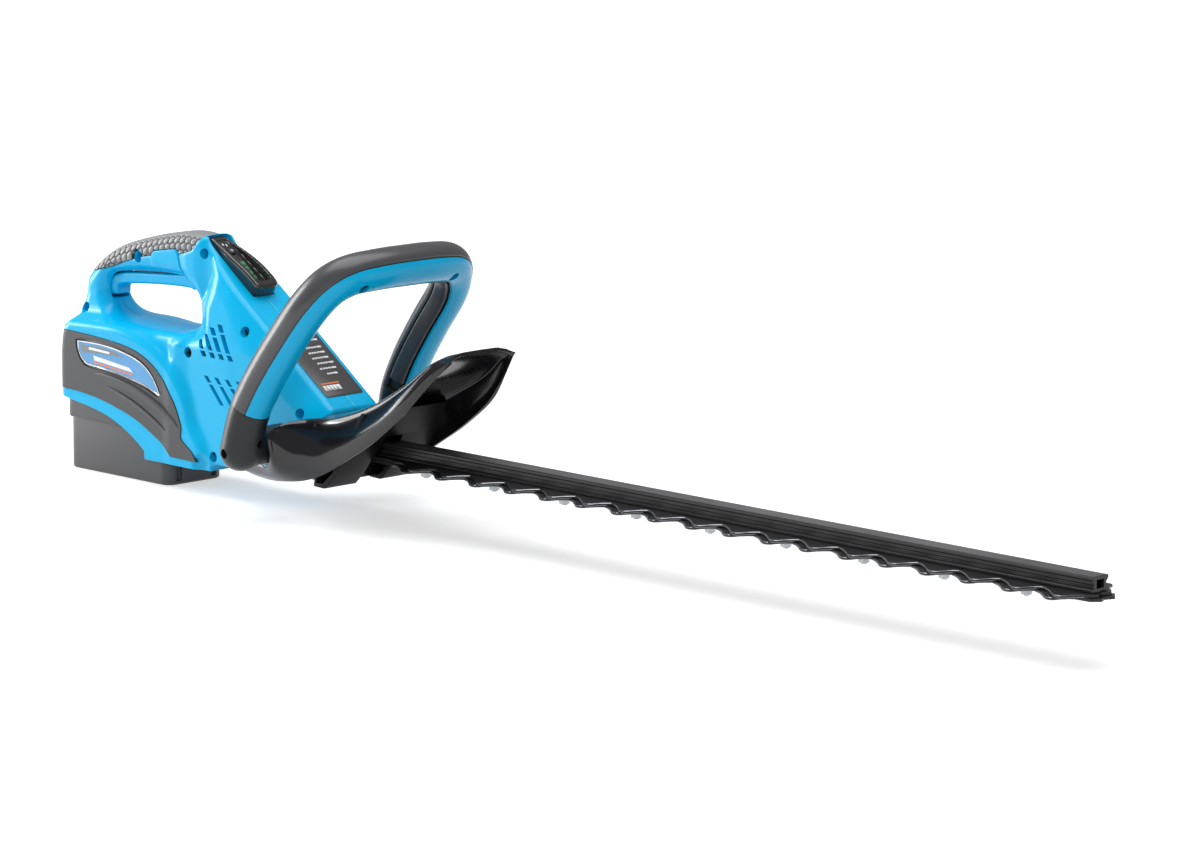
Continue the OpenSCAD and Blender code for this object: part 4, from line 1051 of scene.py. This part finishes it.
def make_rail():
    half = [(8, 49.2), (8, 50.6), (7.4, 51.2), (6.3, 51.7), (6.3, 52.7), (6.9, 53.1), (6.9, 53.9), (6, 54.3),
            (6, 55.4), (6.9, 55.8), (6.9, 56.5), (7.6, 57.1), (8, 57.6), (8, 59.1), (7.6, 59.5)]
    outline = half + [(-y, z) for y, z in reversed(half)]
    rail = prism("rail", outline, -231, 491, "x", 30)
    boolean(rail, box_mesh("hollow", (-240, -3.6, 51.5), (500, 3.6, 57.3)))
    for x in BOLT_X:
        boolean(rail, rod("bolt_hole", (x, 0, 47), (x, 0, 52), 2.05, 24))
    shade(rail, 25)
    dress(rail, "rail", "rail_alloy", "rail")
    # A lighter grey strip along the top of the rail.
    strip = round_box("rail_upper_strip", (-160, -6.6, 59.3), (490.4, 6.6, 59.62), 0.6)
    dress(strip, "rail_top", "rail_alloy")


make_housing()
make_side(-1, "right")
make_side(1, "left")
make_grip_cover()
make_grip_tabs()
make_trigger()
make_display()
make_label()
make_handle()
make_elbow()
make_guard()
make_battery()
make_blade("upper_blade", "top_blade", 46.8, LEAD, 495)
make_blade("lower_blade", "bottom_blade", 44.5, -LEAD, 498)
make_rail()


# ------------ camera, floor and lights

def make_camera():
    turn, rise, roll = math.radians(44.53), math.radians(10.09), math.radians(0.37)
    right = Vector((math.cos(turn), math.sin(turn), 0))
    back = Vector((right.y * math.cos(rise), -right.x * math.cos(rise), math.sin(rise)))
    up = back.cross(right)
    x = math.cos(roll) * right + math.sin(roll) * up
    y = -math.sin(roll) * right + math.cos(roll) * up
    cam = bpy.data.objects.new("camera", bpy.data.cameras.new("camera"))
    bpy.context.scene.collection.objects.link(cam)
    cam.matrix_world = Matrix(((x.x, y.x, back.x, 2.5475), (x.y, y.y, back.y, -2.5442),
                               (x.z, y.z, back.z, 0.7362), (0, 0, 0, 1)))
    cam.data.lens = 157.2
    cam.data.sensor_width = 36
    cam.data.clip_end = 100
    bpy.context.scene.camera = cam


def make_floor():
    """A white floor that glows to the camera and in reflections, more so away from the tool."""
    size = 14
    floor = mesh_object("floor", [(-size, -size, 0), (size, -size, 0), (size, size, 0), (-size, size, 0)],
                        [[0, 1, 2, 3]], 0, 1)
    pale = grained("pale_floor", (0.62, 0.62, 0.62), 0.7, 0.004, 60, 0.0)
    tree = pale.node_tree
    shader = tree.nodes["Principled BSDF"]
    shader.inputs["Emission Color"].default_value = (1, 1, 1, 1)
    path = add(tree, "ShaderNodeLightPath").outputs
    seen = add(tree, "ShaderNodeMath", path["Is Camera Ray"], path["Is Glossy Ray"], operation="MAXIMUM")
    place = add(tree, "ShaderNodeNewGeometry").outputs["Position"]
    reach = add(tree, "ShaderNodeVectorMath", place, operation="LENGTH").outputs["Value"]
    amount = add(tree, "ShaderNodeMath", reach, operation="MULTIPLY_ADD", use_clamp=True)
    amount.inputs[1].default_value, amount.inputs[2].default_value = 0.10, 0.52
    glow = add(tree, "ShaderNodeMath", seen.outputs[0], amount.outputs[0], operation="MULTIPLY")
    tree.links.new(glow.outputs[0], shader.inputs["Emission Strength"])
    floor.data.materials.append(pale)


def make_light(name, place, target, size, power):
    data = bpy.data.lights.new(name, "AREA")
    data.shape = "RECTANGLE"
    data.size, data.size_y = size
    data.energy = power
    ob = bpy.data.objects.new(name, data)
    bpy.context.scene.collection.objects.link(ob)
    ob.location = place
    ob.rotation_euler = (Vector(target) - Vector(place)).to_track_quat("-Z", "Y").to_euler()
    return ob


def make_lights():
    world = bpy.data.worlds.new("studio")
    world.use_nodes = True
    tree = world.node_tree
    background = tree.nodes["Background"]
    background.inputs["Color"].default_value = (1, 1, 1, 1)
    path = add(tree, "ShaderNodeLightPath").outputs
    strength = add(tree, "ShaderNodeMath", path["Is Camera Ray"], operation="MULTIPLY_ADD")
    strength.inputs[1].default_value, strength.inputs[2].default_value = 0.72, 0.30
    tree.links.new(strength.outputs[0], background.inputs["Strength"])
    bpy.context.scene.world = world
    bpy.context.scene.view_settings.view_transform = "Standard"
    make_light("overhead", (-0.3, 0.1, 2.2), (-0.25, 0, 0), (2.4, 2.0), 50)
    make_light("left_panel", (-2.4, -0.7, 0.75), (-0.3, 0, 0.12), (1.3, 1.5), 30)
    make_light("edge_strip", (-2.5, -1.0, 0.7), (-0.3, 0, 0.12), (0.3, 1.5), 20)
    fill = make_light("front_fill", (1.3, -2.6, 1.1), (-0.2, 0, 0.08), (1.6, 1.4), 30)
    fill.visible_glossy = False


make_floor()
make_lights()
make_camera()
